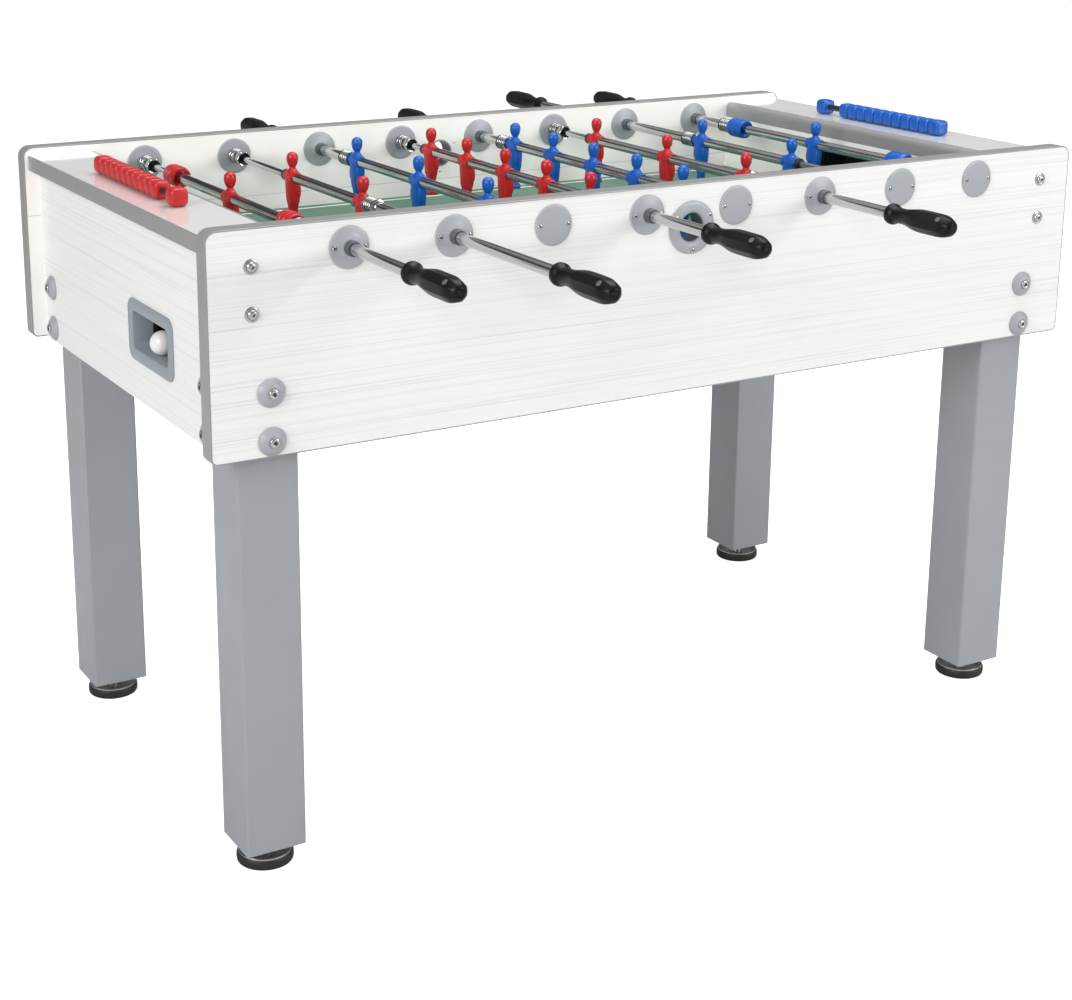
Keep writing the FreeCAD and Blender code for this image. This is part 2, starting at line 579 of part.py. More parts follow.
def screw_holes(label, body):
    """A disc with its two screw holes."""
    drills = [rod(f"{label}_drill", "disc_screw / 2", "flange_crown", f"({s}) * disc_screw_span / 2", 0, 0)
              for s in (-1, 1)]
    return cut(label, body, drills)


flange = screw_holes("flange", flange_body)
cover = screw_holes("cover", disc_body)
sleeve_length = "(panel_thick + 2 * sleeve_nose)"
sleeve_tube = cut("sleeve_tube", rod("sleeve_bar", SLEEVE_RADIUS, sleeve_length, 0, 0, 0),
                  [rod("sleeve_bore", SLEEVE_BORE, sleeve_length, 0, 0, 0)])
bearings = []
discs = []
for name, number, handle, *_ in RODS:
    x = rod_x(number)
    out_y = f"({handle}) * cab_width / 2"
    in_y = f"({handle}) * {INNER_HALF}"
    bearings.append(copy(f"{name}_flange_out", flange, x, out_y, ROD_Z, OUTWARD[handle]))
    bearings.append(copy(f"{name}_flange_in", flange, x, in_y, ROD_Z, OUTWARD[-handle]))
    bearings.append(copy(f"{name}_sleeve", sleeve_tube, x, f"{in_y} - ({handle}) * sleeve_nose", ROD_Z,
                         OUTWARD[handle]))
    discs.append(copy(f"{name}_cover_out", cover, x, f"({-handle}) * cab_width / 2", ROD_Z,
                      OUTWARD[-handle]))
    discs.append(copy(f"{name}_disc_in", inner_disc, x, f"({-handle}) * {INNER_HALF}", ROD_Z,
                      OUTWARD[handle]))
node("rod_bearings", group("bearing_group", bearings))
node("cover_discs", group("disc_group", discs))

# ---------------------------------------------------------------- figures, limiters, springs, handles
man_loft = doc.addObject("PartDesign::Body", "man_loft")
SECTIONS = [
    # height, width across the shoulders, depth front to back
    ("head_top - 21", "man_width * 0.55", "man_depth * 0.6"),
    ("head_top - 27", "man_width", "man_depth * 0.95"),
    ("-man_depth * 0.6", "man_width * 0.9", "man_depth * 0.9"),
    ("-foot_drop * 0.55", "man_width * 0.62", "man_depth * 0.75"),
    ("-foot_drop * 0.84", "man_width * 0.48", "man_depth * 0.55"),
    ("-foot_drop * 0.88", "man_width * 0.62", "man_depth * 0.75"),
    ("-foot_drop", "man_width * 0.62", "man_depth * 0.75"),
]
profiles = []
for number, (height, width, depth) in enumerate(SECTIONS):
    level = sketch_on(man_loft, f"man_section_{number}", "XY_Plane")
    level.setExpression(".AttachmentOffset.Base.z", formula(height))
    outline(level, [(f"-{depth} / 2", f"-{width} / 2"), (f"{depth} / 2", f"-{width} / 2"),
                    (f"{depth} / 2", f"{width} / 2"), (f"-{depth} / 2", f"{width} / 2")])
    profiles.append(level)
doc.recompute()
loft = man_loft.newObject("PartDesign::AdditiveLoft", "man_loft_solid")
loft.Profile = profiles[0]
loft.Sections = profiles[1:]
loft.Ruled = True
man_loft.Tip = loft
head = doc.addObject("Part::Sphere", "man_head")
head.setExpression("Radius", formula("head_diameter / 2"))
place(head, 0, 0, "head_top - head_diameter / 2")
neck = rod("man_neck", "head_diameter * 0.28", "head_top / 2", 0, 0, "head_top / 4")
hub = rod("man_hub", "man_depth / 2 + 0.5", "man_width", 0, "-man_width / 2", 0, Y_AXIS)
man = cut("man", fuse("man_solid", [man_loft, head, neck, hub]),
          [rod("man_bore", "tube_diameter / 2", "man_width * 2", 0, "-man_width", 0, Y_AXIS)])
limiter = turned("limiter", [
    ("tube_diameter / 2", "-limiter_length / 2"),
    ("limiter_diameter * 0.38", "-limiter_length / 2"),
    ("limiter_diameter / 2", "-limiter_length * 0.3"),
    ("limiter_diameter / 2", "limiter_length * 0.3"),
    ("limiter_diameter * 0.38", "limiter_length / 2"),
    ("tube_diameter / 2", "limiter_length / 2"),
])
SPRING_TURNS = 4
spring_points = [("tube_diameter / 2 + face_gap", "0")]
for turn in range(SPRING_TURNS):
    for step, radius in ((0, "spring_diameter / 2"), (0.6, "spring_diameter / 2"),
                         (0.8, "spring_diameter / 2 - spring_wire * 0.6")):
        spring_points.append((radius, f"spring_length * {(turn + step) / (SPRING_TURNS - 0.2):.4f}"))
spring_points[-1] = ("tube_diameter / 2 + face_gap", "spring_length")
spring_points.insert(-1, ("spring_diameter / 2", "spring_length"))
spring = turned("spring", spring_points)
ring = cut("end_ring", rod("end_ring_bar", "tube_diameter / 2 + 2", "end_ring", 0, 0, 0),
           [rod("end_ring_bore", TUBE_BORE, "end_ring", 0, 0, 0)])
grip = turned("grip", [
    ("tube_diameter / 2", "0"),
    ("handle_collar / 2 - 1.5", "0"),
    ("handle_collar / 2", "handle_length * 0.02"),
    ("handle_collar / 2", "handle_length * 0.08"),
    ("handle_waist / 2 + 1", "handle_length * 0.12"),
    ("handle_waist / 2", "handle_length * 0.24"),
    ("handle_diameter / 2 - 2", "handle_length * 0.42"),
    ("handle_diameter / 2", "handle_length * 0.56"),
    ("handle_diameter / 2", "handle_length * 0.78"),
    ("handle_diameter / 2 - 2.5", "handle_length * 0.9"),
    ("handle_diameter / 2 - 8", "handle_length * 0.98"),
    ("handle_diameter / 2 - 11", "handle_length"),
    ("0", "handle_length"),
    ("0", "handle_length * 0.75"),
    ("tube_diameter / 2", "handle_length * 0.75"),
])
nut_radius = "(nut_width / 1.7321)"


def hexagon(name, length, z):
    """A hexagonal bar."""
    made = doc.addObject("Part::Prism", name)
    made.Polygon = 6
    made.setExpression("Circumradius", formula(nut_radius))
    made.setExpression("Height", formula(length))
    return place(made, 0, 0, z)


collar_drum = rod("collar_drum", "collar_diameter / 2", "collar_length * 0.6", 0, 0, 0)
collar_nut = hexagon("collar_nut", "collar_length * 0.4", "collar_length * 0.6")
collar = cut("stop_collar", fuse("collar_solid", [collar_drum, collar_nut]),
             [rod("collar_bore", "inner_diameter / 2", "collar_length", 0, 0, 0)])
back_nut = cut("back_nut", hexagon("back_nut_bar", "panel_thick * 0.3", 0),
               [rod("back_nut_bore", "inner_diameter / 2", "panel_thick * 0.3", 0, 0, 0)])

TRAVEL = {}
for name, number, handle, count, park, reach, pitch in RODS:
    # local direction: +1 towards the anchor wall, so every rod is written the same way
    anchor = -handle
    x = rod_x(number)
    if count == 1:
        spread = "(limiter_pitch / 2 + limiter_length / 2)"
    else:
        spread = f"({(count - 1) / 2} * {pitch} + man_width / 2)"
    tube_end = f"({spread} + tube_margin)"
    collar_face = f"({INNER_HALF} - disc_thick - face_gap - collar_length)"
    travel_out = f"({collar_face} - {tube_end} - end_ring)"
    travel_back = f"({INNER_HALF} - sleeve_nose - {spread} - face_gap - spring_length)"
    TRAVEL[name] = (size(travel_back), size(travel_out))

    tip = f"({tube_end} - {travel_back} - engagement)"
    root_end = "(cab_width / 2 - disc_thick)"
    inner_bar = copy(f"{name}_inner_bar", rod(f"{name}_inner_stock", "inner_diameter / 2",
                                              f"{root_end} - {tip}", 0, 0, 0),
                     x, f"({anchor}) * {tip}", ROD_Z, OUTWARD[anchor])
    stop = copy(f"{name}_stop", collar, x, f"({anchor}) * ({INNER_HALF} - disc_thick - face_gap)", ROD_Z,
                OUTWARD[-anchor])
    lock = copy(f"{name}_lock", back_nut, x, f"({anchor}) * (cab_width / 2 - panel_thick / 2 + face_gap)",
                ROD_Z, OUTWARD[anchor])
    node(f"{name}_inner_rod", group(f"{name}_inner_group", [inner_bar, stop, lock]))

    collar_y = f"(cab_width / 2 + {reach})"
    tube_span = f"({tube_end} + {collar_y} + handle_length * 0.75)"
    tube = cut(f"{name}_tube_cut", rod(f"{name}_tube_bar", "tube_diameter / 2", tube_span, 0, 0, 0),
               [rod(f"{name}_tube_bore", TUBE_BORE, tube_span, 0, 0, 0)])
    pieces = [
        copy(f"{name}_tube_copy", tube, x, f"({anchor}) * {tube_end} + ({park})", ROD_Z, OUTWARD[handle]),
        copy(f"{name}_ring_copy", ring, x, f"({anchor}) * {tube_end} + ({park})", ROD_Z, OUTWARD[anchor]),
        copy(f"{name}_spring_copy", spring, x, f"({handle}) * ({spread} + face_gap) + ({park})", ROD_Z,
             OUTWARD[handle]),
    ]
    node(f"{name}_tube", group(f"{name}_tube_group", pieces))

    figures = []
    for i in range(count):
        figures.append(copy(f"{name}_man_{i + 1}", man, x, f"({i - (count - 1) / 2}) * {pitch} + ({park})",
                            ROD_Z))
    if count == 1:
        for side, sign in SIDES:
            figures.append(copy(f"{name}_limiter_{side}", limiter, x,
                                f"({sign}) * limiter_pitch / 2 + ({park})", ROD_Z, Y_AXIS))
    node(f"{name}_men", group(f"{name}_men_group", figures))

    hold = copy(f"{name}_grip_copy", grip, x, f"({handle}) * {collar_y} + ({park})", ROD_Z,
                OUTWARD[handle])
    node(f"{name}_handle", group(f"{name}_handle_group", [hold]))

# ---------------------------------------------------------------- legs and levelling feet
leg_length = f"({PANEL_LOW} + leg_rise - leg_gap)"
leg_stock = rounded_board("leg_stock", "leg_side", "leg_side", "leg_corner", "leg_corner", leg_length)
UPRIGHT = FreeCAD.Rotation(FreeCAD.Vector(1, 0, 0), 90)
leg_holes = [rod("leg_stem_hole", "stem_diameter / 2 + stem_room", "stem_length + leg_gap", 0, 0,
                 "leg_gap")]
place(leg_stock, 0, 0, "leg_gap", UPRIGHT)
for lift in ("bolt_high", "bolt_low"):
    across = "(leg_side / 2 - bolt_inset)"
    leg_holes.append(rod(f"leg_{lift}_side", "bolt_diameter / 2", "bolt_grip + bolt_diameter / 8", across,
                         "leg_side / 2 - bolt_grip - bolt_diameter / 8", f"{PANEL_LOW} + {lift}", Y_AXIS))
    leg_holes.append(rod(f"leg_{lift}_end", "bolt_diameter / 2", "bolt_grip + bolt_diameter / 8",
                         "leg_side / 2 - bolt_grip - bolt_diameter / 8", across, f"{PANEL_LOW} + {lift}",
                         X_AXIS))
leg = cut("leg", leg_stock, leg_holes)
# the side bolt and the end bolt swap places round the corner, so two legs are the other hand
leg_other = doc.addObject("Part::Mirroring", "leg_other")
leg_other.Source = leg
leg_other.Normal = FreeCAD.Vector(1, 0, 0)
leg_pieces = []
for name, x_sign, y_sign in legs_at:
    source = leg if x_sign * y_sign > 0 else leg_other
    turn = Z_AXIS if y_sign > 0 else HALF_TURN
    leg_pieces.append(copy(f"{name}_leg", source, f"({x_sign}) * {LEG_X}", f"({y_sign}) * {LEG_Y}", 0, turn))
node("legs", group("leg_group", leg_pieces))

puck = turned("foot_puck", [
    ("0", "0"),
    ("foot_diameter / 2 - 2", "0"),
    ("foot_diameter / 2", "foot_thick * 0.2"),
    ("foot_diameter / 2", "foot_thick * 0.75"),
    ("foot_diameter / 2 - 3", "foot_thick"),
    ("0", "foot_thick"),
])
stem = turned("foot_stem", [
    ("0", "foot_thick"),
    ("foot_diameter * 0.32", "foot_thick"),
    ("foot_diameter * 0.32", "foot_thick + 2"),
    ("stem_diameter * 0.8", "foot_thick + 3"),
    ("stem_diameter / 2", "foot_thick + 6"),
    ("stem_diameter / 2", "foot_thick + stem_length"),
    ("0", "foot_thick + stem_length"),
])
foot = group("foot", [puck, stem])
for name, x_sign, y_sign in legs_at:
    place_x = f"({x_sign}) * {LEG_X}"
    place_y = f"({y_sign}) * {LEG_Y}"
    node(f"{name}_foot", group(f"{name}_foot_group", [copy(f"{name}_foot_copy", foot, place_x, place_y)]))

# ---------------------------------------------------------------- bolts and screws
conical_washer = turned("conical_washer", [
    ("bolt_diameter / 2", "0"),
    ("washer_diameter / 2", "0"),
    ("washer_diameter / 2", "washer_height * 0.25"),
    ("washer_diameter * 0.27", "washer_height"),
    ("bolt_diameter / 2", "washer_height"),
])


def bolt(name, through):
    """A leg bolt from its tip, through a board of this thickness, to its head."""
    return turned(name, [
        ("0", f"-({through}) - bolt_grip"),
        ("bolt_diameter / 2", f"-({through}) - bolt_grip"),
        ("bolt_diameter / 2", "washer_height"),
        ("bolt_diameter * 0.85", "washer_height"),
        ("bolt_diameter * 0.85", "washer_height + bolt_diameter * 0.35"),
        ("bolt_diameter * 0.6", "washer_height + bolt_diameter * 0.55"),
        ("0", "washer_height + bolt_diameter * 0.55"),
    ])


side_bolt = bolt("side_bolt", "panel_thick")
end_bolt = bolt("end_bolt", "end_thick")
OUT_X = {1: X_AXIS, -1: FreeCAD.Rotation(FreeCAD.Vector(0, 1, 0), -90)}
bolts = []
for name, x_sign, y_sign in legs_at:
    for lift in ("bolt_high", "bolt_low"):
        z = f"{PANEL_LOW} + {lift}"
        side_at = (f"({x_sign}) * ({END_IN} - bolt_inset)", f"({y_sign}) * cab_width / 2", z, OUTWARD[y_sign])
        end_at = (f"({x_sign}) * {END_OUT}", f"({y_sign}) * ({INNER_HALF} - bolt_inset)", z, OUT_X[x_sign])
        bolts.append(copy(f"{name}_{lift}_side_washer", conical_washer, *side_at))
        bolts.append(copy(f"{name}_{lift}_side_bolt", side_bolt, *side_at))
        bolts.append(copy(f"{name}_{lift}_end_washer", conical_washer, *end_at))
        bolts.append(copy(f"{name}_{lift}_end_bolt", end_bolt, *end_at))
node("leg_bolts", group("bolt_group", bolts))

panel_screw = turned("panel_screw", [
    ("0", "-panel_thick - block_side * 0.8"),
    ("screw_shank / 2", "-panel_thick - block_side * 0.8"),
    ("screw_shank / 2", "0"),
    ("screw_washer / 2", "0"),
    ("screw_washer / 2", "screw_shank * 0.3"),
    ("screw_washer * 0.32", "screw_shank * 0.8"),
    ("screw_washer * 0.2", "screw_shank * 1.2"),
    ("0", "screw_shank * 1.3"),
])
disc_screw_body = turned("disc_screw_body", [
    ("0", "-panel_thick / 2"),
    ("disc_screw / 2", "-panel_thick / 2"),
    ("disc_screw / 2", "0"),
    ("disc_screw", "0"),
    ("disc_screw * 0.8", "disc_screw / 2"),
    ("0", "disc_screw * 0.6"),
])
screws = []
for side, sign in SIDES:
    for end, end_sign in ENDS:
        for drop in ("screw_high", "screw_low"):
            screws.append(copy(f"{side}_{end}_{drop}", panel_screw,
                               f"({end_sign}) * (cab_length / 2 - screw_inset)",
                               f"({sign}) * cab_width / 2", f"cab_height - {drop}", OUTWARD[sign]))
    for name, number, *_ in RODS:
        for turn in (-1, 1):
            screws.append(copy(f"{side}_{name}_screw", disc_screw_body,
                               f"{rod_x(number)} + ({turn}) * disc_screw_span / 2",
                               f"({sign}) * (cab_width / 2 + disc_thick)", ROD_Z, OUTWARD[sign]))
    for angle in (-90, 30, 150):
        screws.append(copy(f"{side}_entry_screw", disc_screw_body,
                           f"entry_diameter * 0.42 * {math.cos(math.radians(angle)):.4f}",
                           f"({sign}) * (cab_width / 2 + flange_crown * 0.6)",
                           f"{ENTRY_Z} + entry_diameter * 0.42 * {math.sin(math.radians(angle)):.4f}",
                           OUTWARD[sign]))
node("panel_screws", group("screw_group", screws))

# ---------------------------------------------------------------- scorers
rail = turned("scorer_rail", [
    ("0", f"-{SCORER_HALF}"),
    ("knob_diameter * 0.3", f"-{SCORER_HALF}"),
    ("knob_diameter / 2", f"-{SCORER_HALF} + knob_diameter * 0.2"),
    ("knob_diameter / 2", f"-{SCORER_HALF} + knob_diameter * 0.8"),
    ("knob_diameter * 0.35", f"-{SCORER_HALF} + knob_diameter"),
    ("scorer_rod / 2", f"-{SCORER_HALF} + knob_diameter"),
    ("scorer_rod / 2", f"{SCORER_HALF} - knob_diameter"),
    ("knob_diameter * 0.35", f"{SCORER_HALF} - knob_diameter"),
    ("knob_diameter / 2", f"{SCORER_HALF} - knob_diameter * 0.8"),
    ("knob_diameter / 2", f"{SCORER_HALF} - knob_diameter * 0.2"),
    ("knob_diameter * 0.3", f"{SCORER_HALF}"),
    ("0", f"{SCORER_HALF}"),
])
node("scorer_rails", group("rail_group", [
    copy(f"{end}_rail", rail, f"({sign}) * {SCORER_X}", 0, SCORER_Z, Y_AXIS) for end, sign in ENDS]))

bead_block = rounded_board("bead_block", "bead_side", "bead_side", "bead_side * 0.22", "bead_side * 0.22",
                           "bead_length")
bead = cut("bead", bead_block, [rod("bead_bore", "scorer_rod / 2 + run_clearance", "bead_length", 0, 0, 0,
                                    Y_AXIS)])
for end, sign in ENDS:
    beads = []
    for i in range(int(size("bead_count"))):
        inner_end = f"({SCORER_HALF} - knob_diameter - ({i + 1}) * {BEAD_PITCH})"
        turn = Z_AXIS if sign < 0 else HALF_TURN
        beads.append(copy(f"{end}_bead_{i + 1}", bead, f"({sign}) * {SCORER_X}", f"({-sign}) * {inner_end}",
                          SCORER_Z, turn))
    node(f"{end}_scorer_lead_bead", group(f"{end}_lead_group", beads[-1:]))
    node(f"{end}_scorer_beads", group(f"{end}_bead_group", beads[:-1]))

# ---------------------------------------------------------------- ball, resting in the left tray
ball = doc.addObject("Part::Sphere", "ball_solid")
ball.setExpression("Radius", formula("ball_diameter / 2"))
place(ball, f"-{END_OUT} + ball_diameter / 2", "-tray_offset + tray_wall * 2",
      f"{TRAY_Z} - {TRAY_OPEN_HEIGHT} / 2 + ball_diameter / 2 + face_gap / 4")
node("ball", ball)

# ---------------------------------------------------------------- checks and files
doc.recompute()
for obj in doc.Objects:
    if "Invalid" in obj.State or "Error" in obj.State:
        raise RuntimeError(f"{obj.Name}: {obj.State}")
for obj in nodes:
    if obj.Shape.isNull() or not obj.Shape.isValid():
        raise RuntimeError(f"{obj.Label}: bad shape")
os.makedirs("parts", exist_ok=True)
for obj in nodes:
    obj.Shape.exportStep(f"parts/{obj.Label}.step")
print(f"{len(nodes)} nodes")
for name, (back, out) in TRAVEL.items():
    print(f"{name}: travel {back:.1f} back, {out:.1f} out")
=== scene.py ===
import math

import bmesh
import bpy
from mathutils import Matrix, Vector


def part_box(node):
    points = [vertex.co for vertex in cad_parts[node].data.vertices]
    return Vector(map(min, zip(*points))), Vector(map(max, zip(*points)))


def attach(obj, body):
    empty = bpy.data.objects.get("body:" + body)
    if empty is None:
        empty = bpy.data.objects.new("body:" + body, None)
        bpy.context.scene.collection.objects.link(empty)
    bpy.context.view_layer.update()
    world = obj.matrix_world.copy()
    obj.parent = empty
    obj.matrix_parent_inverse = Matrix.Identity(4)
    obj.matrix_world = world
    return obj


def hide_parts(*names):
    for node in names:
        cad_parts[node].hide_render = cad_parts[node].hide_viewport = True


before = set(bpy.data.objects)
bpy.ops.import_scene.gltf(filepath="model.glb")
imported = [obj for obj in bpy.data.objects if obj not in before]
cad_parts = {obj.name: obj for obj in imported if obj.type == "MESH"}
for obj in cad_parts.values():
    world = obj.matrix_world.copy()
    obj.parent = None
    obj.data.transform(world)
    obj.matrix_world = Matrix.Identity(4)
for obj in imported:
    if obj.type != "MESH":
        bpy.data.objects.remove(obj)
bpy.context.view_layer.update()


def add(tree, kind, inputs=None, **settings):
    """One node, with its settings and its inputs given as values or as the sockets that feed them."""
    node = tree.nodes.new(kind)
    for key, value in settings.items():
        setattr(node, key, value)
    for key, value in (inputs or {}).items():
        if isinstance(value, bpy.types.NodeSocket):
            tree.links.new(value, node.inputs[key])
        else:
            node.inputs[key].default_value = value
    return node


def maths(tree, operation, *values):
    """The result of one Math node."""
    return add(tree, "ShaderNodeMath", dict(enumerate(values)), operation=operation).outputs[0]


def shader_group(name, inputs, outputs):
    """An empty node group with these sockets, and its two ends."""
    kinds = {"colour": "NodeSocketColor", "number": "NodeSocketFloat", "vector": "NodeSocketVector"}
    tree = bpy.data.node_groups.new(name, "ShaderNodeTree")
    for label, kind, value in inputs:
        tree.interface.new_socket(label, in_out="INPUT", socket_type=kinds[kind]).default_value = value
    for label, kind in outputs:
        tree.interface.new_socket(label, in_out="OUTPUT", socket_type=kinds[kind])
    return tree, tree.nodes.new("NodeGroupInput").outputs, tree.nodes.new("NodeGroupOutput").inputs


def connect(tree, pairs):
    """Links each source socket to its target."""
    for source, target in pairs:
        tree.links.new(source, target)


def surface(name, group, values, relief=0.0004, depth=1.0, **constants):
    """A Principled material whose colour, roughness and relief come from a node group."""
    material = bpy.data.materials.new(name)
    material.use_nodes = True
    tree = material.node_tree
    shader = tree.nodes["Principled BSDF"]
    for label, value in constants.items():
        shader.inputs[label.replace("_", " ")].default_value = value
    source = add(tree, "ShaderNodeGroup", node_tree=group)
    for label, value in values.items():
        source.inputs[label].default_value = value
    bump = add(tree, "ShaderNodeBump",
               {"Strength": depth, "Distance": relief, "Height": source.outputs["Height"]})
    connect(tree, [(source.outputs["Colour"], shader.inputs["Base Color"]),
                   (source.outputs["Roughness"], shader.inputs["Roughness"]),
                   (bump.outputs["Normal"], shader.inputs["Normal"])])
    return material


JOINT_HEIGHT = 0.785      # where two boards of a side panel's inner face meet
grain_group, given, made = shader_group(
    "white-washed grain",
    [("Board", "colour", (0.76, 0.76, 0.745, 1)), ("Streak", "colour", (0.50, 0.50, 0.48, 1)),
     ("Inner Board", "colour", (0.93, 0.90, 0.875, 1)), ("Along", "vector", (2.0, 60.0, 560.0)),
     ("Outward", "vector", (0.0, 1.0, 0.0)), ("Outer Face", "number", 0.375), ("Gloss", "number", 0.42)],
    [("Colour", "colour"), ("Roughness", "number"), ("Height", "number")])
place = add(grain_group, "ShaderNodeTexCoord").outputs["Object"]
sway = add(grain_group, "ShaderNodeTexNoise", {"Vector": place, "Scale": 3.0, "Detail": 2.0})
offset = add(grain_group, "ShaderNodeVectorMath", {0: sway.outputs[1], "Scale": 0.0035}, operation="SCALE")
swayed = add(grain_group, "ShaderNodeVectorMath", {0: place, 1: offset.outputs[0]}, operation="ADD")
stretched = add(grain_group, "ShaderNodeVectorMath", {0: swayed.outputs[0], 1: given["Along"]},
                operation="MULTIPLY")
fibres = add(grain_group, "ShaderNodeTexNoise",
             {"Vector": stretched.outputs[0], "Scale": 1.0, "Detail": 4.0, "Roughness": 0.68})
thin = add(grain_group, "ShaderNodeMapRange",
           {"Value": fibres.outputs[0], "From Min": 0.50, "From Max": 0.82, "To Min": 0.0, "To Max": 1.0})
cluster = add(grain_group, "ShaderNodeTexNoise",
              {"Vector": stretched.outputs[0], "Scale": 0.16, "Detail": 2.0})
where = add(grain_group, "ShaderNodeMapRange",
            {"Value": cluster.outputs[0], "From Min": 0.34, "From Max": 0.66, "To Min": 0.45, "To Max": 1.0})
reach = add(grain_group, "ShaderNodeVectorMath", {0: place, 1: given["Outward"]}, operation="DOT_PRODUCT")
outside = maths(grain_group, "GREATER_THAN", maths(grain_group, "ABSOLUTE", reach.outputs["Value"]),
                given["Outer Face"])
streaks = maths(grain_group, "MULTIPLY", maths(grain_group, "MULTIPLY", thin.outputs[0], where.outputs[0]),
                outside)
height = add(grain_group, "ShaderNodeSeparateXYZ", {0: place})
from_joint = maths(grain_group, "ABSOLUTE", maths(grain_group, "SUBTRACT", height.outputs["Z"], JOINT_HEIGHT))
joint = maths(grain_group, "MULTIPLY", maths(grain_group, "LESS_THAN", from_joint, 0.0005),
              maths(grain_group, "SUBTRACT", 1.0, outside))
shade = maths(grain_group, "MAXIMUM", streaks, maths(grain_group, "MULTIPLY", joint, 0.8))
face = add(grain_group, "ShaderNodeMix", {0: outside, 6: given["Inner Board"], 7: given["Board"]},
           data_type="RGBA")
tone = add(grain_group, "ShaderNodeMix", {0: shade, 6: face.outputs[2], 7: given["Streak"]}, data_type="RGBA")
connect(grain_group, [
    (tone.outputs[2], made["Colour"]),
    (maths(grain_group, "MULTIPLY_ADD", shade, 0.25, given["Gloss"]), made["Roughness"]),
    (maths(grain_group, "SUBTRACT", 1.0, shade), made["Height"])])

side_laminate = surface("side panel laminate", grain_group, {"Along": (2.0, 60.0, 560.0)}, relief=0.0003,
                        depth=0.5)
end_laminate = surface("end panel laminate", grain_group,
                       {"Along": (60.0, 2.0, 560.0), "Outward": (1.0, 0.0, 0.0), "Outer Face": 0.68},
                       relief=0.0003, depth=0.5)


def finish_node(node, material):
    """Gives a frame node its material."""
    for place_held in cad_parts[node].material_slots:
        place_held.material = material


for side in ("near", "far"):
    finish_node(f"{side}_side_panel", side_laminate)
for end in ("left", "right"):
    finish_node(f"{end}_end_panel", end_laminate)

# ------------------------------------------------------------------ grey edging and end shelves
# Satin grey edging is glued round both side panels and along the shelves, and a rounded silver
# strip noses each shelf towards the field. The shelves are white gloss boards.
SHARP = math.radians(38)      # edges that turn more than this stay crisp

moulded_group, given, made = shader_group(
    "moulded finish",
    [("Tint", "colour", (0.5, 0.5, 0.5, 1)), ("Mottle", "number", 0.08), ("Grain", "number", 900.0),
     ("Gloss", "number", 0.4), ("Gloss Spread", "number", 0.12), ("Relief", "number", 1.0)],
    [("Colour", "colour"), ("Roughness", "number"), ("Height", "number")])
place = add(moulded_group, "ShaderNodeTexCoord").outputs["Object"]
fine = add(moulded_group, "ShaderNodeTexNoise", {"Vector": place, "Scale": given["Grain"], "Detail": 2.0})
broad = add(moulded_group, "ShaderNodeTexNoise", {"Vector": place, "Scale": 14.0, "Detail": 4.0})
blend = maths(moulded_group, "MULTIPLY_ADD", fine.outputs[0], 0.4,
              maths(moulded_group, "MULTIPLY", broad.outputs[0], 0.6))
dimming = maths(moulded_group, "SUBTRACT", 1.0, maths(moulded_group, "MULTIPLY", blend, given["Mottle"]))
tinted = add(moulded_group, "ShaderNodeHueSaturation", {"Value": dimming, "Color": given["Tint"]})
uneven = maths(moulded_group, "MULTIPLY", maths(moulded_group, "SUBTRACT", blend, 0.5), given["Gloss Spread"])
connect(moulded_group, [
    (tinted.outputs[0], made["Colour"]),
    (maths(moulded_group, "ADD", given["Gloss"], uneven), made["Roughness"]),
    (maths(moulded_group, "MULTIPLY", fine.outputs[0], given["Relief"]), made["Height"])])


def moulded(name, colour, gloss, relief=0.00004, **more):
    """A plastic, paint or rubber finish of one colour (linear RGB)."""
    values = {"Tint": (*colour, 1), "Gloss": gloss}
    for label in ("Mottle", "Grain", "Gloss_Spread"):
        if label in more:
            values[label.replace("_", " ")] = more.pop(label)
    return surface(name, moulded_group, values, relief=relief, depth=0.6, **more)


edging_grey = moulded("satin grey edging", (0.33, 0.33, 0.325), 0.32, Mottle=0.12, Metallic=0.3)
shelf_white = moulded("white gloss board", (0.74, 0.735, 0.72), 0.07, Grain=220.0, Mottle=0.03,
                      Gloss_Spread=0.05, relief=0.00001, Coat_Weight=0.5, Coat_Roughness=0.03)


def make_piece(name, shape, materials, body, nodes=()):
    """Shades a finished bmesh and ties it to its body and to the frame nodes that it stands for."""
    for face in shape.faces:
        face.smooth = True
    for edge in shape.edges:
        edge.smooth = edge.calc_face_angle(0.0) < SHARP
    mesh = bpy.data.meshes.new(name)
    shape.to_mesh(mesh)
    shape.free()
    for material in materials:
        mesh.materials.append(material)
    piece = bpy.data.objects.new(name, mesh)
    bpy.context.scene.collection.objects.link(piece)
    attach(piece, body)
    if nodes:
        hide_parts(*nodes)
    return piece


def softened(name, node, material, width, body="cabinet"):
    """A frame node's own shape with its sharp edges rounded over."""
    shape = bmesh.new()
    shape.from_mesh(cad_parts[node].data)
    bmesh.ops.remove_doubles(shape, verts=shape.verts, dist=1e-6)
    bmesh.ops.dissolve_limit(shape, angle_limit=math.radians(0.5), verts=shape.verts, edges=shape.edges)
    for face in shape.faces:
        face.material_index = 0
    piece = make_piece(name, shape, [material], body, [node])
    rounding = piece.modifiers.new("rounded edges", "BEVEL")
    rounding.width = width
    rounding.segments = 3
    rounding.limit_method = "ANGLE"
    rounding.angle_limit = math.radians(32)
    rounding.harden_normals = True
    return piece


softened("edging", "panel_edge_bands", edging_grey, 0.0009)
for end in ("left", "right"):
    softened(f"{end}_shelf_board", f"{end}_end_shelf", shelf_white, 0.0006)

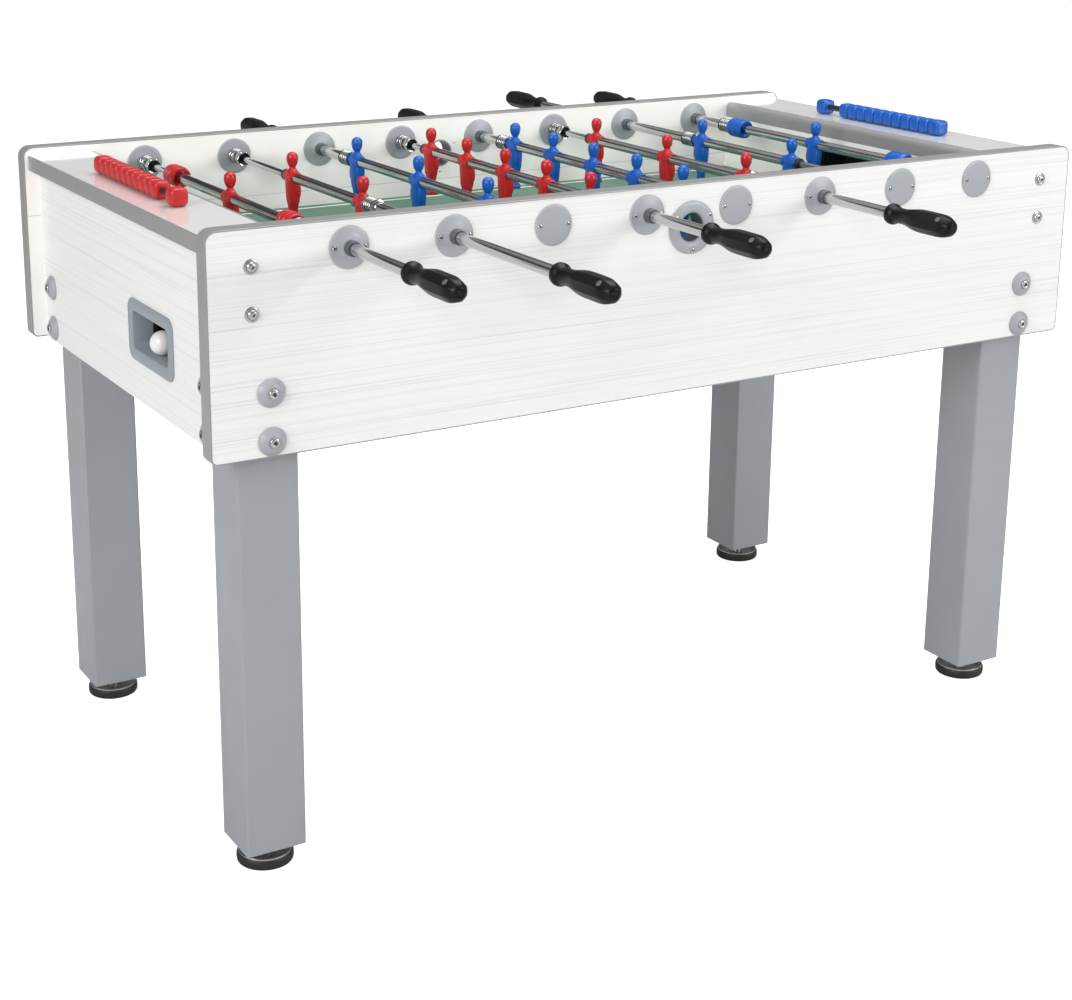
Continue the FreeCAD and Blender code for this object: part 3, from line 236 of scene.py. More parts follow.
# ------------------------------------------------------------------ field, goal walls, bottom board
# The field is a green laminated board with white lines printed on it. Plain white boards close its
# ends round the goal mouths, and a thin board closes the cabinet from below.
field_green = moulded("green field laminate", (0.045, 0.155, 0.095), 0.42, Mottle=0.1, Grain=400.0)
line_white = moulded("printed white", (0.8, 0.82, 0.78), 0.35)
wall_white = moulded("plain white board", (0.92, 0.89, 0.86), 0.34, Mottle=0.05)
board_white = moulded("white underside board", (0.7, 0.69, 0.66), 0.5, Mottle=0.15)
finish_node("playfield", field_green)
finish_node("goal_walls", wall_white)
finish_node("bottom_board", board_white)

LINE_WIDTH = 0.006
LINE_HEIGHT = 0.0003
CIRCLE_RADIUS = 0.100
GOAL_LINE = 0.600           # from the middle of the field to the face of a goal wall
AREAS = ((0.298, 0.250), (0.120, 0.150))      # depth and half width of the penalty and goal areas
LINE_INSET = 0.020          # touch lines in from the edge of the field
field_high = Vector(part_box("playfield")[1])
field_top = field_high.z


def strip(shape, x, y, length, width):
    """A flat printed strip centred on this point of the field."""
    place = Matrix.Translation((x, y, field_top + LINE_HEIGHT / 2)) @ Matrix.Diagonal(
        (length, width, LINE_HEIGHT, 1))
    bmesh.ops.create_cube(shape, size=1, matrix=place)


lines = bmesh.new()
strip(lines, 0, 0, LINE_WIDTH, 2 * (field_high.y - LINE_INSET))
for sign in (-1, 1):
    for depth, half_width in AREAS:
        strip(lines, sign * (GOAL_LINE - depth), 0, LINE_WIDTH, 2 * half_width + LINE_WIDTH)
        for y in (-half_width, half_width):
            strip(lines, sign * (GOAL_LINE - depth / 2), y, depth - LINE_WIDTH, LINE_WIDTH)
    strip(lines, 0, sign * (field_high.y - LINE_INSET), 2 * (GOAL_LINE - LINE_INSET), LINE_WIDTH)
rim = [lines.verts.new((CIRCLE_RADIUS + step * LINE_WIDTH, 0, field_top + lift * LINE_HEIGHT))
       for step, lift in ((-0.5, 0), (0.5, 0), (0.5, 1), (-0.5, 1))]
loop = [lines.edges.new(pair) for pair in zip(rim, rim[1:] + rim[:1])]
bmesh.ops.spin(lines, geom=rim + loop, cent=(0, 0, 0), axis=(0, 0, 1), angle=math.tau, steps=96,
               use_merge=True)
bmesh.ops.recalc_face_normals(lines, faces=lines.faces)
make_piece("field_lines", lines, [line_white], "cabinet")

# ------------------------------------------------------------------ goal nets, hoods and troughs
# Behind each mouth a moulded hood guides the ball down to a trough. A black knotted net hangs
# from the hood's top edge just inside the mouth.
hood_black = moulded("black moulding", (0.012, 0.012, 0.012), 0.55)
net_black = moulded("black net cord", (0.006, 0.006, 0.006), 0.7)
finish_node("goal_hoods", hood_black)

NET_MESH = 0.008
NET_SAG = 0.018
NET_X = 0.632               # from the middle of the table to the net's top edge
mouth_half, mouth_top = 0.098, field_top + 0.072
cells_wide, cells_high = int(2 * mouth_half / NET_MESH), int((mouth_top - field_top) / NET_MESH)
nets = bmesh.new()
for sign in (-1, 1):
    sheet = bmesh.ops.create_grid(nets, x_segments=cells_wide, y_segments=cells_high, size=0.5)["verts"]
    for vert in sheet:
        across, up = vert.co.x * 2 * mouth_half, vert.co.y + 0.5
        sag = NET_SAG * math.sin(math.pi * up) * math.cos(math.pi * across / (2.4 * mouth_half))
        vert.co = (sign * (NET_X + sag), across, field_top + 0.001 + up * (mouth_top - field_top))
net = make_piece("goal_nets", nets, [net_black], "cabinet")
cord = net.modifiers.new("net cord", "WIREFRAME")
cord.thickness = 0.0012
cord.use_even_offset = False
cord.use_boundary = True

# ------------------------------------------------------------------ ball trays and ball
# A grey moulded tray stands in each end panel's window, its bevelled bezel lapping the panel. The
# ball is a white cork-filled plastic one, lightly scuffed.
tray_grey = moulded("blue-grey moulding", (0.265, 0.305, 0.335), 0.36, Mottle=0.12)
ball_white = moulded("white ball shell", (0.8, 0.79, 0.77), 0.3, Mottle=0.1, Grain=260.0, relief=0.0002)


def add_shape(whole, shape, places, finish=0):
    """Puts a copy of the shape in the whole at each place, with one of its materials."""
    for face in shape.faces:
        face.material_index = finish
    pattern = bpy.data.meshes.new("pattern")
    shape.to_mesh(pattern)
    shape.free()
    for place in places:
        one = pattern.copy()
        one.transform(place)
        whole.from_mesh(one)
        bpy.data.meshes.remove(one)
    bpy.data.meshes.remove(pattern)


TRAY_WIDTH = 0.167
TRAY_RIM = 0.0175
TRAY_WALL = 0.0025
TRAY_DEPTH = 0.030
tray_low, tray_high = (Vector(corner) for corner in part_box("ball_return_trays"))
end_out = Vector(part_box("right_end_panel")[1]).x
lap = tray_high.x - end_out
back = lap - TRAY_DEPTH
wide, tall = TRAY_WIDTH, tray_high.z - tray_low.z
open_wide, open_tall = wide - 2 * TRAY_RIM, tall - 2 * TRAY_RIM
sleeve_wide, sleeve_tall = open_wide + 2 * TRAY_WALL, open_tall + 2 * TRAY_WALL
# width, height, corner radius and distance out of the panel's face, from behind the bezel round
# its front edge and down the inside to the back of the sleeve
tray_levels = [
    (wide, tall, 0.0172, 0), (wide, tall, 0.0172, lap * 0.5),
    (wide - 0.0008, tall - 0.0008, 0.0168, lap * 0.85), (wide - 0.0024, tall - 0.0024, 0.016, lap),
    (open_wide + 0.0042, open_tall + 0.0042, 0.0112, lap),
    (open_wide + 0.0014, open_tall + 0.0014, 0.0098, lap * 0.75), (open_wide, open_tall, 0.0090, lap * 0.1),
    (open_wide, open_tall, 0.0090, back), (sleeve_wide, sleeve_tall, 0.0115, back),
    (sleeve_wide, sleeve_tall, 0.0115, 0), (wide, tall, 0.0172, 0)]
tray_shape = bmesh.new()
sheet = bmesh.ops.create_grid(tray_shape, x_segments=1, y_segments=1, size=0.5,
                              matrix=Matrix.Diagonal((wide, tall, 1, 1)))
bmesh.ops.bevel(tray_shape, geom=sheet["verts"], offset=tray_levels[0][2], segments=6, profile=0.5,
                affect="VERTICES", material=-1)
edges = list(tray_shape.edges)
bmesh.ops.delete(tray_shape, geom=list(tray_shape.faces), context="FACES_ONLY")
for before, after in zip(tray_levels, tray_levels[1:]):
    grown = bmesh.ops.extrude_edge_only(tray_shape, edges=edges)["geom"]
    edges = [item for item in grown if isinstance(item, bmesh.types.BMEdge)]
    for vert in [item for item in grown if isinstance(item, bmesh.types.BMVert)]:
        for axis in (0, 1):
            side = math.copysign(1, vert.co[axis])
            round_part = (vert.co[axis] - side * (before[axis] / 2 - before[2])) / before[2]
            vert.co[axis] = side * (after[axis] / 2 - after[2]) + round_part * after[2]
        vert.co.z = after[3]
bmesh.ops.remove_doubles(tray_shape, verts=tray_shape.verts, dist=1e-6)
bmesh.ops.recalc_face_normals(tray_shape, faces=tray_shape.faces)
trays = bmesh.new()
add_shape(trays, tray_shape, [
    Matrix.Translation((sign * end_out, sign * (tray_high.y - wide / 2), (tray_low.z + tray_high.z) / 2)) @
    Matrix(((0, 0, sign, 0), (sign, 0, 0, 0), (0, 1, 0, 0), (0, 0, 0, 1))) for sign in (-1, 1)])
make_piece("tray_mouldings", trays, [tray_grey], "cabinet", ["ball_return_trays"])

ball_low, ball_high = (Vector(corner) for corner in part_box("ball"))
ball_shape = bmesh.new()
bmesh.ops.create_icosphere(ball_shape, subdivisions=5, radius=(ball_high.z - ball_low.z) / 2,
                           matrix=Matrix.Translation((ball_low + ball_high) / 2))
make_piece("white_ball", ball_shape, [ball_white], "ball_body", ["ball"])

# ------------------------------------------------------------------ bearings, cover discs, entry cups
# Each rod runs in a nylon sleeve, dark in colour, held by two grey domed flanges. Flat discs cover the holes
# at the fixed end, and a funnel-shaped cup lines each ball entry, with a dark ring of painted shade inside
# its bore below the lip. All are screwed to the panels.
disc_grey = moulded("zinc grey moulding", (0.36, 0.375, 0.40), 0.38, Mottle=0.2)
dark_nylon_and_hole_shade = moulded("dark nylon and painted hole shade", (0.065, 0.075, 0.09), 0.4)


def turned(points, steps=48):
    """A turned shape about Z from its outline, given as (radius, height) pairs in millimetres."""
    shape = bmesh.new()
    corners = [shape.verts.new((radius / 1000, 0, height / 1000)) for radius, height in points]
    pairs = list(zip(corners, corners[1:]))
    if points[0][0] > 0 or points[-1][0] > 0:
        pairs.append((corners[-1], corners[0]))
    edges = [shape.edges.new(pair) for pair in pairs]
    bmesh.ops.spin(shape, geom=corners + edges, cent=(0, 0, 0), axis=(0, 0, 1), angle=math.tau,
                   steps=steps, use_merge=True)
    bmesh.ops.remove_doubles(shape, verts=shape.verts, dist=1e-6)
    bmesh.ops.recalc_face_normals(shape, faces=shape.faces)
    return shape


def facing(x, y, z, sign):
    """A place whose +Z looks along +Y or -Y."""
    return Matrix.Translation((x, y, z)) @ Matrix.Rotation(-sign * math.pi / 2, 4, "X")


DISC_SCREW_REACH = 0.0215     # a disc's or flange's two screws, from its middle
CUP_SCREW_REACH = 0.0315      # an entry cup's three screws, from its middle
SLEEVE_NOSE = 0.018           # sleeve beyond the panel's face
panel_out = -Vector(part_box("near_side_panel")[0]).y
panel_in = -Vector(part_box("near_side_panel")[1]).y
rod_names = ["red_keeper", "red_defence", "blue_attack", "red_midfield", "blue_midfield", "red_attack",
             "blue_defence", "blue_keeper"]
rods = []
for rod_name in rod_names:
    tube_low, tube_high = (Vector(corner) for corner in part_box(f"{rod_name}_tube"))
    centre = (tube_low + tube_high) / 2
    rods.append((rod_name, centre.x, centre.z, 1 if centre.y > 0 else -1))

flange_places, sleeve_places, disc_places, inner_disc_places = [], [], [], []
for _, x, z, handle_sign in rods:
    flange_places += [facing(x, handle_sign * panel_out, z, handle_sign),
                      facing(x, handle_sign * panel_in, z, -handle_sign)]
    sleeve_places.append(facing(x, handle_sign * (panel_in - SLEEVE_NOSE), z, handle_sign))
    disc_places.append(facing(x, -handle_sign * panel_out, z, -handle_sign))
    inner_disc_places.append(facing(x, -handle_sign * panel_in, z, handle_sign))

bearings = bmesh.new()
add_shape(bearings, turned([(10, 0), (28, 0), (28, 1.2), (27.4, 2.2), (26, 2.7), (22, 3.2), (17.5, 4.1),
                            (14, 5.4), (12.6, 6.5), (11.6, 7), (10, 7)]), flange_places, 0)
for turn in (-1, 1):
    ring = turned([(4.6, 2.2), (5.4, 2.2), (5.4, 3.7), (5.0, 4.0), (4.6, 3.7)], steps=24)
    shift = Matrix.Translation((turn * DISC_SCREW_REACH, 0, -0.0006))
    add_shape(bearings, ring, [place @ shift for place in flange_places], 0)
add_shape(bearings, turned([(8.1, 0), (9.4, 0), (10, 0.8), (10, 63.2), (9.4, 64), (8.1, 64)], steps=40),
          sleeve_places, 1)
make_piece("bearing_set", bearings, [disc_grey, dark_nylon_and_hole_shade], "cabinet", ["rod_bearings"])

covers = bmesh.new()
for bore, places in ((0, disc_places), (6, inner_disc_places)):
    add_shape(covers, turned([(bore, 0), (28, 0), (28, 1.4), (27.6, 2.2), (26.6, 2.7), (24, 2.9), (bore, 3)]),
              places)
make_piece("cover_disc_set", covers, [disc_grey], "cabinet", ["cover_discs"])

cup_low, cup_high = (Vector(corner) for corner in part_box("ball_entry_cups"))
cup_z = (cup_low.z + cup_high.z) / 2
cup_places = [facing(0, sign * panel_out, cup_z, sign) for sign in (-1, 1)]
cups = bmesh.new()
add_shape(cups, turned([(20.2, -28), (23, -28), (23, 0), (37.5, 0), (37.5, 1.3), (36.8, 2.8), (35, 3.8),
                        (32, 4.2), (27, 4.2), (24.2, 3.9), (22.2, 3), (20.8, 1.4), (20.2, -0.6)], steps=64),
          cup_places, 0)
# a thin dark ring inside the cup's bore below the lip: painted shade for the deep hole, not a separate part
add_shape(cups, turned([(20, -28), (20.4, -28), (20.4, -1.4), (20, -1.4)], steps=64), cup_places, 1)
make_piece("entry_cup_set", cups, [disc_grey, dark_nylon_and_hole_shade], "cabinet", ["ball_entry_cups"])

# ------------------------------------------------------------------ screws and leg bolts
# Cross-head screws hold the discs, flanges and cups; larger domed screws with washers hold the
# panels to corner blocks. Eight socket bolts with conical washers clamp each pair of legs.
steel = surface("bright zinc plate", moulded_group,
                {"Tint": (0.56, 0.55, 0.53, 1), "Gloss": 0.26, "Mottle": 0.25, "Grain": 1500.0},
                relief=0.00004, depth=0.4, Metallic=1.0)
# near-black painted shade for the screws' cross recesses, which are not cut into the heads
painted_recess_shade = moulded("painted recess shade", (0.03, 0.028, 0.025), 0.5)


def polygon_ring(shape, sides, inside, low=-1.0, high=1.0, amount=1.0):
    """Pulls the turned rings nearer the axis, or further, than a radius into a polygon."""
    step = math.tau / sides
    for vert in shape.verts:
        far = vert.co.xy.length
        if far < 1e-6 or not low <= vert.co.z <= high or (far < abs(inside)) != (inside > 0):
            continue
        away = math.atan2(vert.co.y, vert.co.x) % step - step / 2
        vert.co.xy *= 1 + (math.cos(step / 2) / math.cos(away) - 1) * amount


def cross_screw(whole, places, lift):
    """Small domed cross-head screws standing on the given surface height."""
    head = turned([(0, 0), (3.5, 0), (3.5, 0.4), (3.0, 1.1), (1.8, 1.5), (0, 1.6)], steps=20)
    up = Matrix.Translation((0, 0, lift))
    add_shape(whole, head, [place @ up for place in places], 0)
    # each cross is a dark bar standing just proud of the dome, coloured as painted shade in place of a recess
    for angle in (45, 135):
        bar = bmesh.new()
        bmesh.ops.create_cube(bar, size=1, matrix=Matrix.Rotation(math.radians(angle), 4, "Z") @
                              Matrix.Translation((0, 0, 0.00138)) @
                              Matrix.Diagonal((0.0044, 0.0011, 0.0005, 1)))
        add_shape(whole, bar, [place @ up for place in places], 1)


CORNER_SCREW_X = 0.658
CORNER_SCREW_HEIGHTS = (0.8415, 0.7815)
LEG_BOLT_X, LEG_BOLT_Y = 0.635, 0.314
LEG_BOLT_HEIGHTS = (0.6785, 0.615)
small = bmesh.new()
flange_screws, cover_screws, cup_screws = [], [], []
for _, x, z, handle_sign in rods:
    for turn in (-1, 1):
        screw_x = x + turn * DISC_SCREW_REACH
        flange_screws.append(facing(screw_x, handle_sign * panel_out, z, handle_sign))
        cover_screws.append(facing(screw_x, -handle_sign * panel_out, z, -handle_sign))
for sign in (-1, 1):
    for angle in (-90, 30, 150):
        aside = CUP_SCREW_REACH * math.cos(math.radians(angle))
        rise = CUP_SCREW_REACH * math.sin(math.radians(angle))
        cup_screws.append(facing(aside, sign * panel_out, cup_z + rise, sign))
cross_screw(small, cover_screws, 0.0029)
cross_screw(small, flange_screws, 0.0031)
cross_screw(small, cup_screws, 0.0041)
corner_places = [facing(x_sign * CORNER_SCREW_X, sign * panel_out, z, sign)
                 for sign in (-1, 1) for x_sign in (-1, 1) for z in CORNER_SCREW_HEIGHTS]
washer = turned([(4, 0), (10, 0), (10, 0.9), (9.4, 1.4), (7.6, 1.6), (6.6, 1.2), (4, 1.2)], steps=40)
add_shape(small, washer, corner_places, 0)
dome = turned([(0, 2.4), (2.4, 2.4), (2.4, 5.0), (3.4, 5.2), (5.0, 4.6), (6.2, 3.4), (6.7, 1.9), (6.7, 1.0),
               (0, 1.0)], steps=36)
polygon_ring(dome, 6, 0.0026)
add_shape(small, dome, corner_places, 0)
make_piece("panel_screw_set", small, [steel, painted_recess_shade], "cabinet", ["panel_screws"])

bolt_places = []
for z in LEG_BOLT_HEIGHTS:
    for x_sign in (-1, 1):
        for sign in (-1, 1):
            bolt_places.append(facing(x_sign * LEG_BOLT_X, sign * panel_out, z, sign))
            bolt_places.append(Matrix.Translation((x_sign * end_out, sign * LEG_BOLT_Y, z)) @
                               Matrix.Rotation(x_sign * math.pi / 2, 4, "Y"))
bolts = bmesh.new()
add_shape(bolts, turned([(7.2, 0), (19, 0), (19, 1.6), (18.4, 2.6), (12.2, 7.2), (11, 7.9), (7.2, 8),
                         (7.2, 5)]), bolt_places, 0)
head = turned([(0, 5.2), (3.1, 5.2), (3.1, 10.4), (4.4, 10.9), (6, 10.6), (6.8, 9.8), (7, 8.6), (7, 4.8),
               (0, 4.8)], steps=36)
polygon_ring(head, 6, 0.0034)
add_shape(bolts, head, bolt_places, 1)
make_piece("leg_bolt_set", bolts, [disc_grey, steel], "cabinet", ["leg_bolts"])

# ------------------------------------------------------------------ legs and levelling feet
# Square legs of board wrapped in silver-grey laminate, folded at the corners. Each stands on a
# rubber puck in a steel cup, screwed up into the leg on a threaded stem.
THREAD_PITCH = 1.75           # millimetres
THREAD_TURNS = 38
leg_grey = moulded("silver-grey laminate", (0.33, 0.345, 0.37), 0.4, Mottle=0.14, Grain=700.0, Metallic=0.15)
foot_rubber = moulded("black rubber", (0.010, 0.010, 0.010), 0.55, Mottle=0.3, Grain=500.0, relief=0.0001)
softened("wrapped_legs", "legs", leg_grey, 0.0006)

for end in ("left", "right"):
    for side in ("near", "far"):
        low, high = (Vector(corner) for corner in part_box(f"{end}_{side}_foot"))
        at = [Matrix.Translation(((low.x + high.x) / 2, (low.y + high.y) / 2, 0))]
        foot = bmesh.new()
        add_shape(foot, turned([(0, 0), (35.5, 0), (37.6, 0.8), (38.6, 2.4), (39, 5), (39, 9.8), (38.7, 12.4),
                                (37.6, 14.2), (36.2, 14.6), (0, 14.6)], steps=72), at, 0)
        add_shape(foot, turned([(0, 14.4), (36.9, 14.4), (36.9, 16), (36.2, 16.8), (35.2, 16.9), (34.5, 16.2),
                                (34.2, 15.2), (0, 15.2)], steps=72), at, 1)
        stem = [(0, 15), (9.2, 15), (9.2, 21.2), (8.4, 22), (5.4, 22)]
        for turn in range(THREAD_TURNS):
            stem += [(6, 23.0 + turn * THREAD_PITCH), (5.2, 23.9 + turn * THREAD_PITCH)]
        add_shape(foot, turned(stem + [(0, stem[-1][1])], steps=24), at, 1)
        make_piece(f"{end}_{side}_levelling_foot", foot, [foot_rubber, steel], f"{end}_{side}_foot_body",
                   [f"{end}_{side}_foot"])

# ------------------------------------------------------------------ rods, springs and handles
# A chromed tube slides over a thinner steel rod held at the far wall. A bumper spring meets the
# bearing at one end of the travel, a grooved drum and its nut stop the tube at the other, and an
# eight-sided handle is pressed on.
chrome = surface("polished chrome", moulded_group,
                 {"Tint": (0.62, 0.62, 0.62, 1), "Gloss": 0.14, "Mottle": 0.12, "Gloss Spread": 0.1,
                  "Grain": 1200.0}, relief=0.00002, depth=0.3, Metallic=1.0)
grip_black = moulded("black grip moulding", (0.004, 0.004, 0.004), 0.36, Mottle=0.2, Grain=600.0,
                     relief=0.00008, Specular_IOR_Level=0.22)
ring_black = moulded("black nylon", (0.010, 0.010, 0.010), 0.45)
plug_grey = moulded("grey plug", (0.10, 0.10, 0.10), 0.3)
spring_steel = surface("bright spring steel", moulded_group,
                       {"Tint": (0.50, 0.50, 0.50, 1), "Gloss": 0.2, "Mottle": 0.2, "Grain": 1500.0},
                       relief=0.00002, depth=0.3, Metallic=1.0)


def coil(outer, wire, length, turns, steps=24):
    """A round-wire spring about Z, sizes in millimetres."""
    shape = bmesh.new()
    start = (Matrix.Translation(((outer - wire / 2) / 1000, 0, wire / 2000)) @
             Matrix.Rotation(math.pi / 2, 4, "X"))
    ring = bmesh.ops.create_circle(shape, segments=10, radius=wire / 2000, matrix=start)["verts"]
    edges = list({edge for vert in ring for edge in vert.link_edges})
    bmesh.ops.spin(shape, geom=ring + edges, cent=(0, 0, 0), axis=(0, 0, 1), angle=turns * math.tau,
                   dvec=(0, 0, (length - wire) / 1000 / (turns * steps)), steps=turns * steps)
    bmesh.ops.holes_fill(shape, edges=shape.edges)
    bmesh.ops.recalc_face_normals(shape, faces=shape.faces)
    return shape


GRIP_OUTLINE = [(8.1, 93), (8.1, 0), (12.4, 0), (13.8, 0.9), (14.5, 3), (14.5, 7.6), (13.8, 9.8), (12, 12),
                (11.1, 15.5), (10.7, 23), (10.8, 30), (11.6, 36), (13.2, 43), (14.8, 50), (15.7, 58),
                (16, 68), (16, 95), (15.8, 102), (15.2, 108), (13.9, 113.5), (11.8, 118), (9.2, 121.2),
                (6.6, 123), (5.7, 123.4), (5.1, 122.5), (4.4, 122.5), (3.8, 123.2), (0, 123.4), (0, 93)]
GRIP_FLATS = ((0.040, 0.047, 0.35), (0.047, 0.054, 0.7), (0.054, 0.106, 0.93), (0.106, 0.116, 0.8),
              (0.116, 0.120, 0.5))      # from, to, and how flat the eight sides are there

for rod_name, x, z, handle_sign in rods:
    tube_low, tube_high = (Vector(corner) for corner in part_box(f"{rod_name}_tube"))
    men_low, men_high = (Vector(corner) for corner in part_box(f"{rod_name}_men"))
    ends = (tube_low.y, tube_high.y) if handle_sign > 0 else (tube_high.y, tube_low.y)
    length = abs(ends[1] - ends[0]) * 1000
    open_end = facing(x, ends[0], z, handle_sign)
    men_edge = men_high.y if handle_sign > 0 else men_low.y
    spring_at = facing(x, men_edge + handle_sign * 0.0004, z, handle_sign)

    rod = bmesh.new()
    add_shape(rod, turned([(5.1, 8), (7.6, 8), (8, 8.4), (8, length - 0.4), (7.6, length), (5.1, length)],
                          steps=40), [open_end], 0)
    add_shape(rod, turned([(5.2, 2), (8.2, 2), (8.9, 2.7), (8.9, 7.4), (8.4, 8), (5.2, 8)], steps=32),
              [open_end], 1)
    add_shape(rod, coil(12, 2.9, 26.4, 4), [spring_at @ Matrix.Translation((0, 0, 0.0018))], 2)
    rim = [(8.1, 0), (12, 0), (12, 1.4), (11.4, 1.8), (8.1, 1.8)]
    add_shape(rod, turned(rim, steps=32), [spring_at, spring_at @ Matrix.Translation((0, 0, 0.0282))], 0)
    make_piece(f"{rod_name}_rod_tube", rod, [chrome, ring_black, spring_steel], f"{rod_name}_outer",
               [f"{rod_name}_tube"])

    inner_low, inner_high = (Vector(corner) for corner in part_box(f"{rod_name}_inner_rod"))
    wall_end = inner_low.y if handle_sign > 0 else inner_high.y
    inner_length = (inner_high.y - inner_low.y) * 1000
    root = facing(x, wall_end, z, handle_sign)
    wall_gap = (abs(wall_end) - panel_in) * 1000 + 3.4
    inner = bmesh.new()
    add_shape(inner, turned([(0, 0), (4.4, 0), (5, 0.6), (5, inner_length - 0.6), (4.4, inner_length),
                             (0, inner_length)], steps=32), [root], 0)
    stop = root @ Matrix.Translation((0, 0, wall_gap / 1000))
    add_shape(inner, turned([(5, 0), (11.4, 0), (12, 0.6), (12, 5.6), (11.2, 6.4), (9.6, 6.8), (9.6, 8.2),
                             (11.2, 8.6), (12, 9.4), (12, 14.4), (11.2, 15.2), (9.6, 15.6), (9.6, 17),
                             (11.2, 17.4), (12, 18.2), (12, 20.6), (11.4, 21.4), (5, 21.4)], steps=48),
              [stop], 1)
    nut = turned([(5, 22.8), (12, 22.8), (12.7, 23.6), (12.7, 36.4), (12, 37.4), (10.6, 38), (9.4, 37.6),
                  (9, 36.8), (9, 31), (5, 31)], steps=48)
    add_shape(inner, turned([(5.05, 31.2), (8.9, 31.2), (8.9, 31.6), (5.05, 31.6)], steps=32), [stop], 2)
    polygon_ring(nut, 6, -0.0115)
    add_shape(inner, nut, [stop], 1)
    back = turned([(5, 2.2), (12.2, 2.2), (12.7, 2.8), (12.7, 10), (12.2, 10.6), (5, 10.6)], steps=48)
    polygon_ring(back, 6, -0.0115)
    add_shape(inner, back, [root], 0)
    make_piece(f"{rod_name}_inner_bar", inner, [chrome, spring_steel, ring_black], f"{rod_name}_inner",
               [f"{rod_name}_inner_rod"])

    grip_low, grip_high = (Vector(corner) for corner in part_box(f"{rod_name}_handle"))
    grip_start = grip_low.y if handle_sign > 0 else grip_high.y
    grip_at = facing(x, grip_start, z, handle_sign) @ Matrix.Rotation(math.pi / 8, 4, "Z")
    grip = bmesh.new()
    body_shape = turned(GRIP_OUTLINE, steps=64)
    for low, high, amount in GRIP_FLATS:
        polygon_ring(body_shape, 8, -0.0084, low, high, amount)
    add_shape(grip, body_shape, [grip_at], 0)
    plug = turned([(0, 0), (4, 0), (4, 1.3), (3.6, 1.7), (0, 1.7)], steps=24)
    plug_turn = Matrix.Rotation(math.radians(112.5), 4, "Z") @ Matrix.Rotation(math.pi / 2, 4, "Y")
    add_shape(grip, plug, [grip_at @ Matrix.Translation((0, 0, 0.1035)) @ plug_turn @
                           Matrix.Translation((0, 0, 0.0134))], 1)
    make_piece(f"{rod_name}_grip", grip, [grip_black, plug_grey], f"{rod_name}_outer", [f"{rod_name}_handle"])

# ------------------------------------------------------------------ players
# Each player is one plastic moulding on its tube: a round head, sloping shoulders with the arms at
# the sides, a shirt hem, tapering legs and a square foot. Each keeper rod also has two stop drums.
red_plastic = moulded("red moulding", (0.50, 0.010, 0.012), 0.36, Mottle=0.18, Grain=420.0, relief=0.00012)
blue_plastic = moulded("blue moulding", (0.0, 0.095, 0.46), 0.36, Mottle=0.18, Grain=420.0, relief=0.00012)
TEAM = {"red": red_plastic, "blue": blue_plastic}
COUNTS = {"keeper": 1, "defence": 2, "attack": 3, "midfield": 5}
BOSS_HALF = 0.016             # half the width of a player at the rod
DRUM_LENGTH = 0.040

# height, half depth, half width and squareness of each level, from the sole to the crown
LEVELS = [(-72, 7.2, 8.8, 4), (-71.2, 8.0, 9.6, 4), (-66, 8.0, 9.6, 4), (-63.6, 7.0, 8.0, 3.4),
          (-61.6, 5.4, 6.6, 2.8), (-54, 6.0, 7.8, 2.5), (-46, 7.0, 9.4, 2.5),
          (-39.4, 7.8, 11.0, 2.5), (-38.6, 8.6, 12.0, 2.6), (-30, 9.3, 12.6, 2.6),
          (-21, 10.0, 13.0, 2.6), (-12, 10.3, 13.5, 2.6), (-3, 10.3, 14.2, 2.6),
          (3, 9.8, 14.0, 2.6), (7, 8.8, 12.6, 2.4), (9.8, 7.2, 10.0, 2.3), (11.6, 5.7, 7.4, 2.1),
          (13, 4.9, 5.4, 2), (14.8, 4.6, 4.8, 2), (16.4, 5.3, 5.3, 2), (18.6, 7.0, 6.8, 2),
          (22, 8.2, 7.9, 2), (26, 8.9, 8.5, 2), (30, 9.0, 8.6, 2), (33.4, 8.2, 7.8, 2),
          (35.8, 6.3, 6.0, 2), (37.2, 3.9, 3.7, 2), (37.9, 1.4, 1.3, 2)]


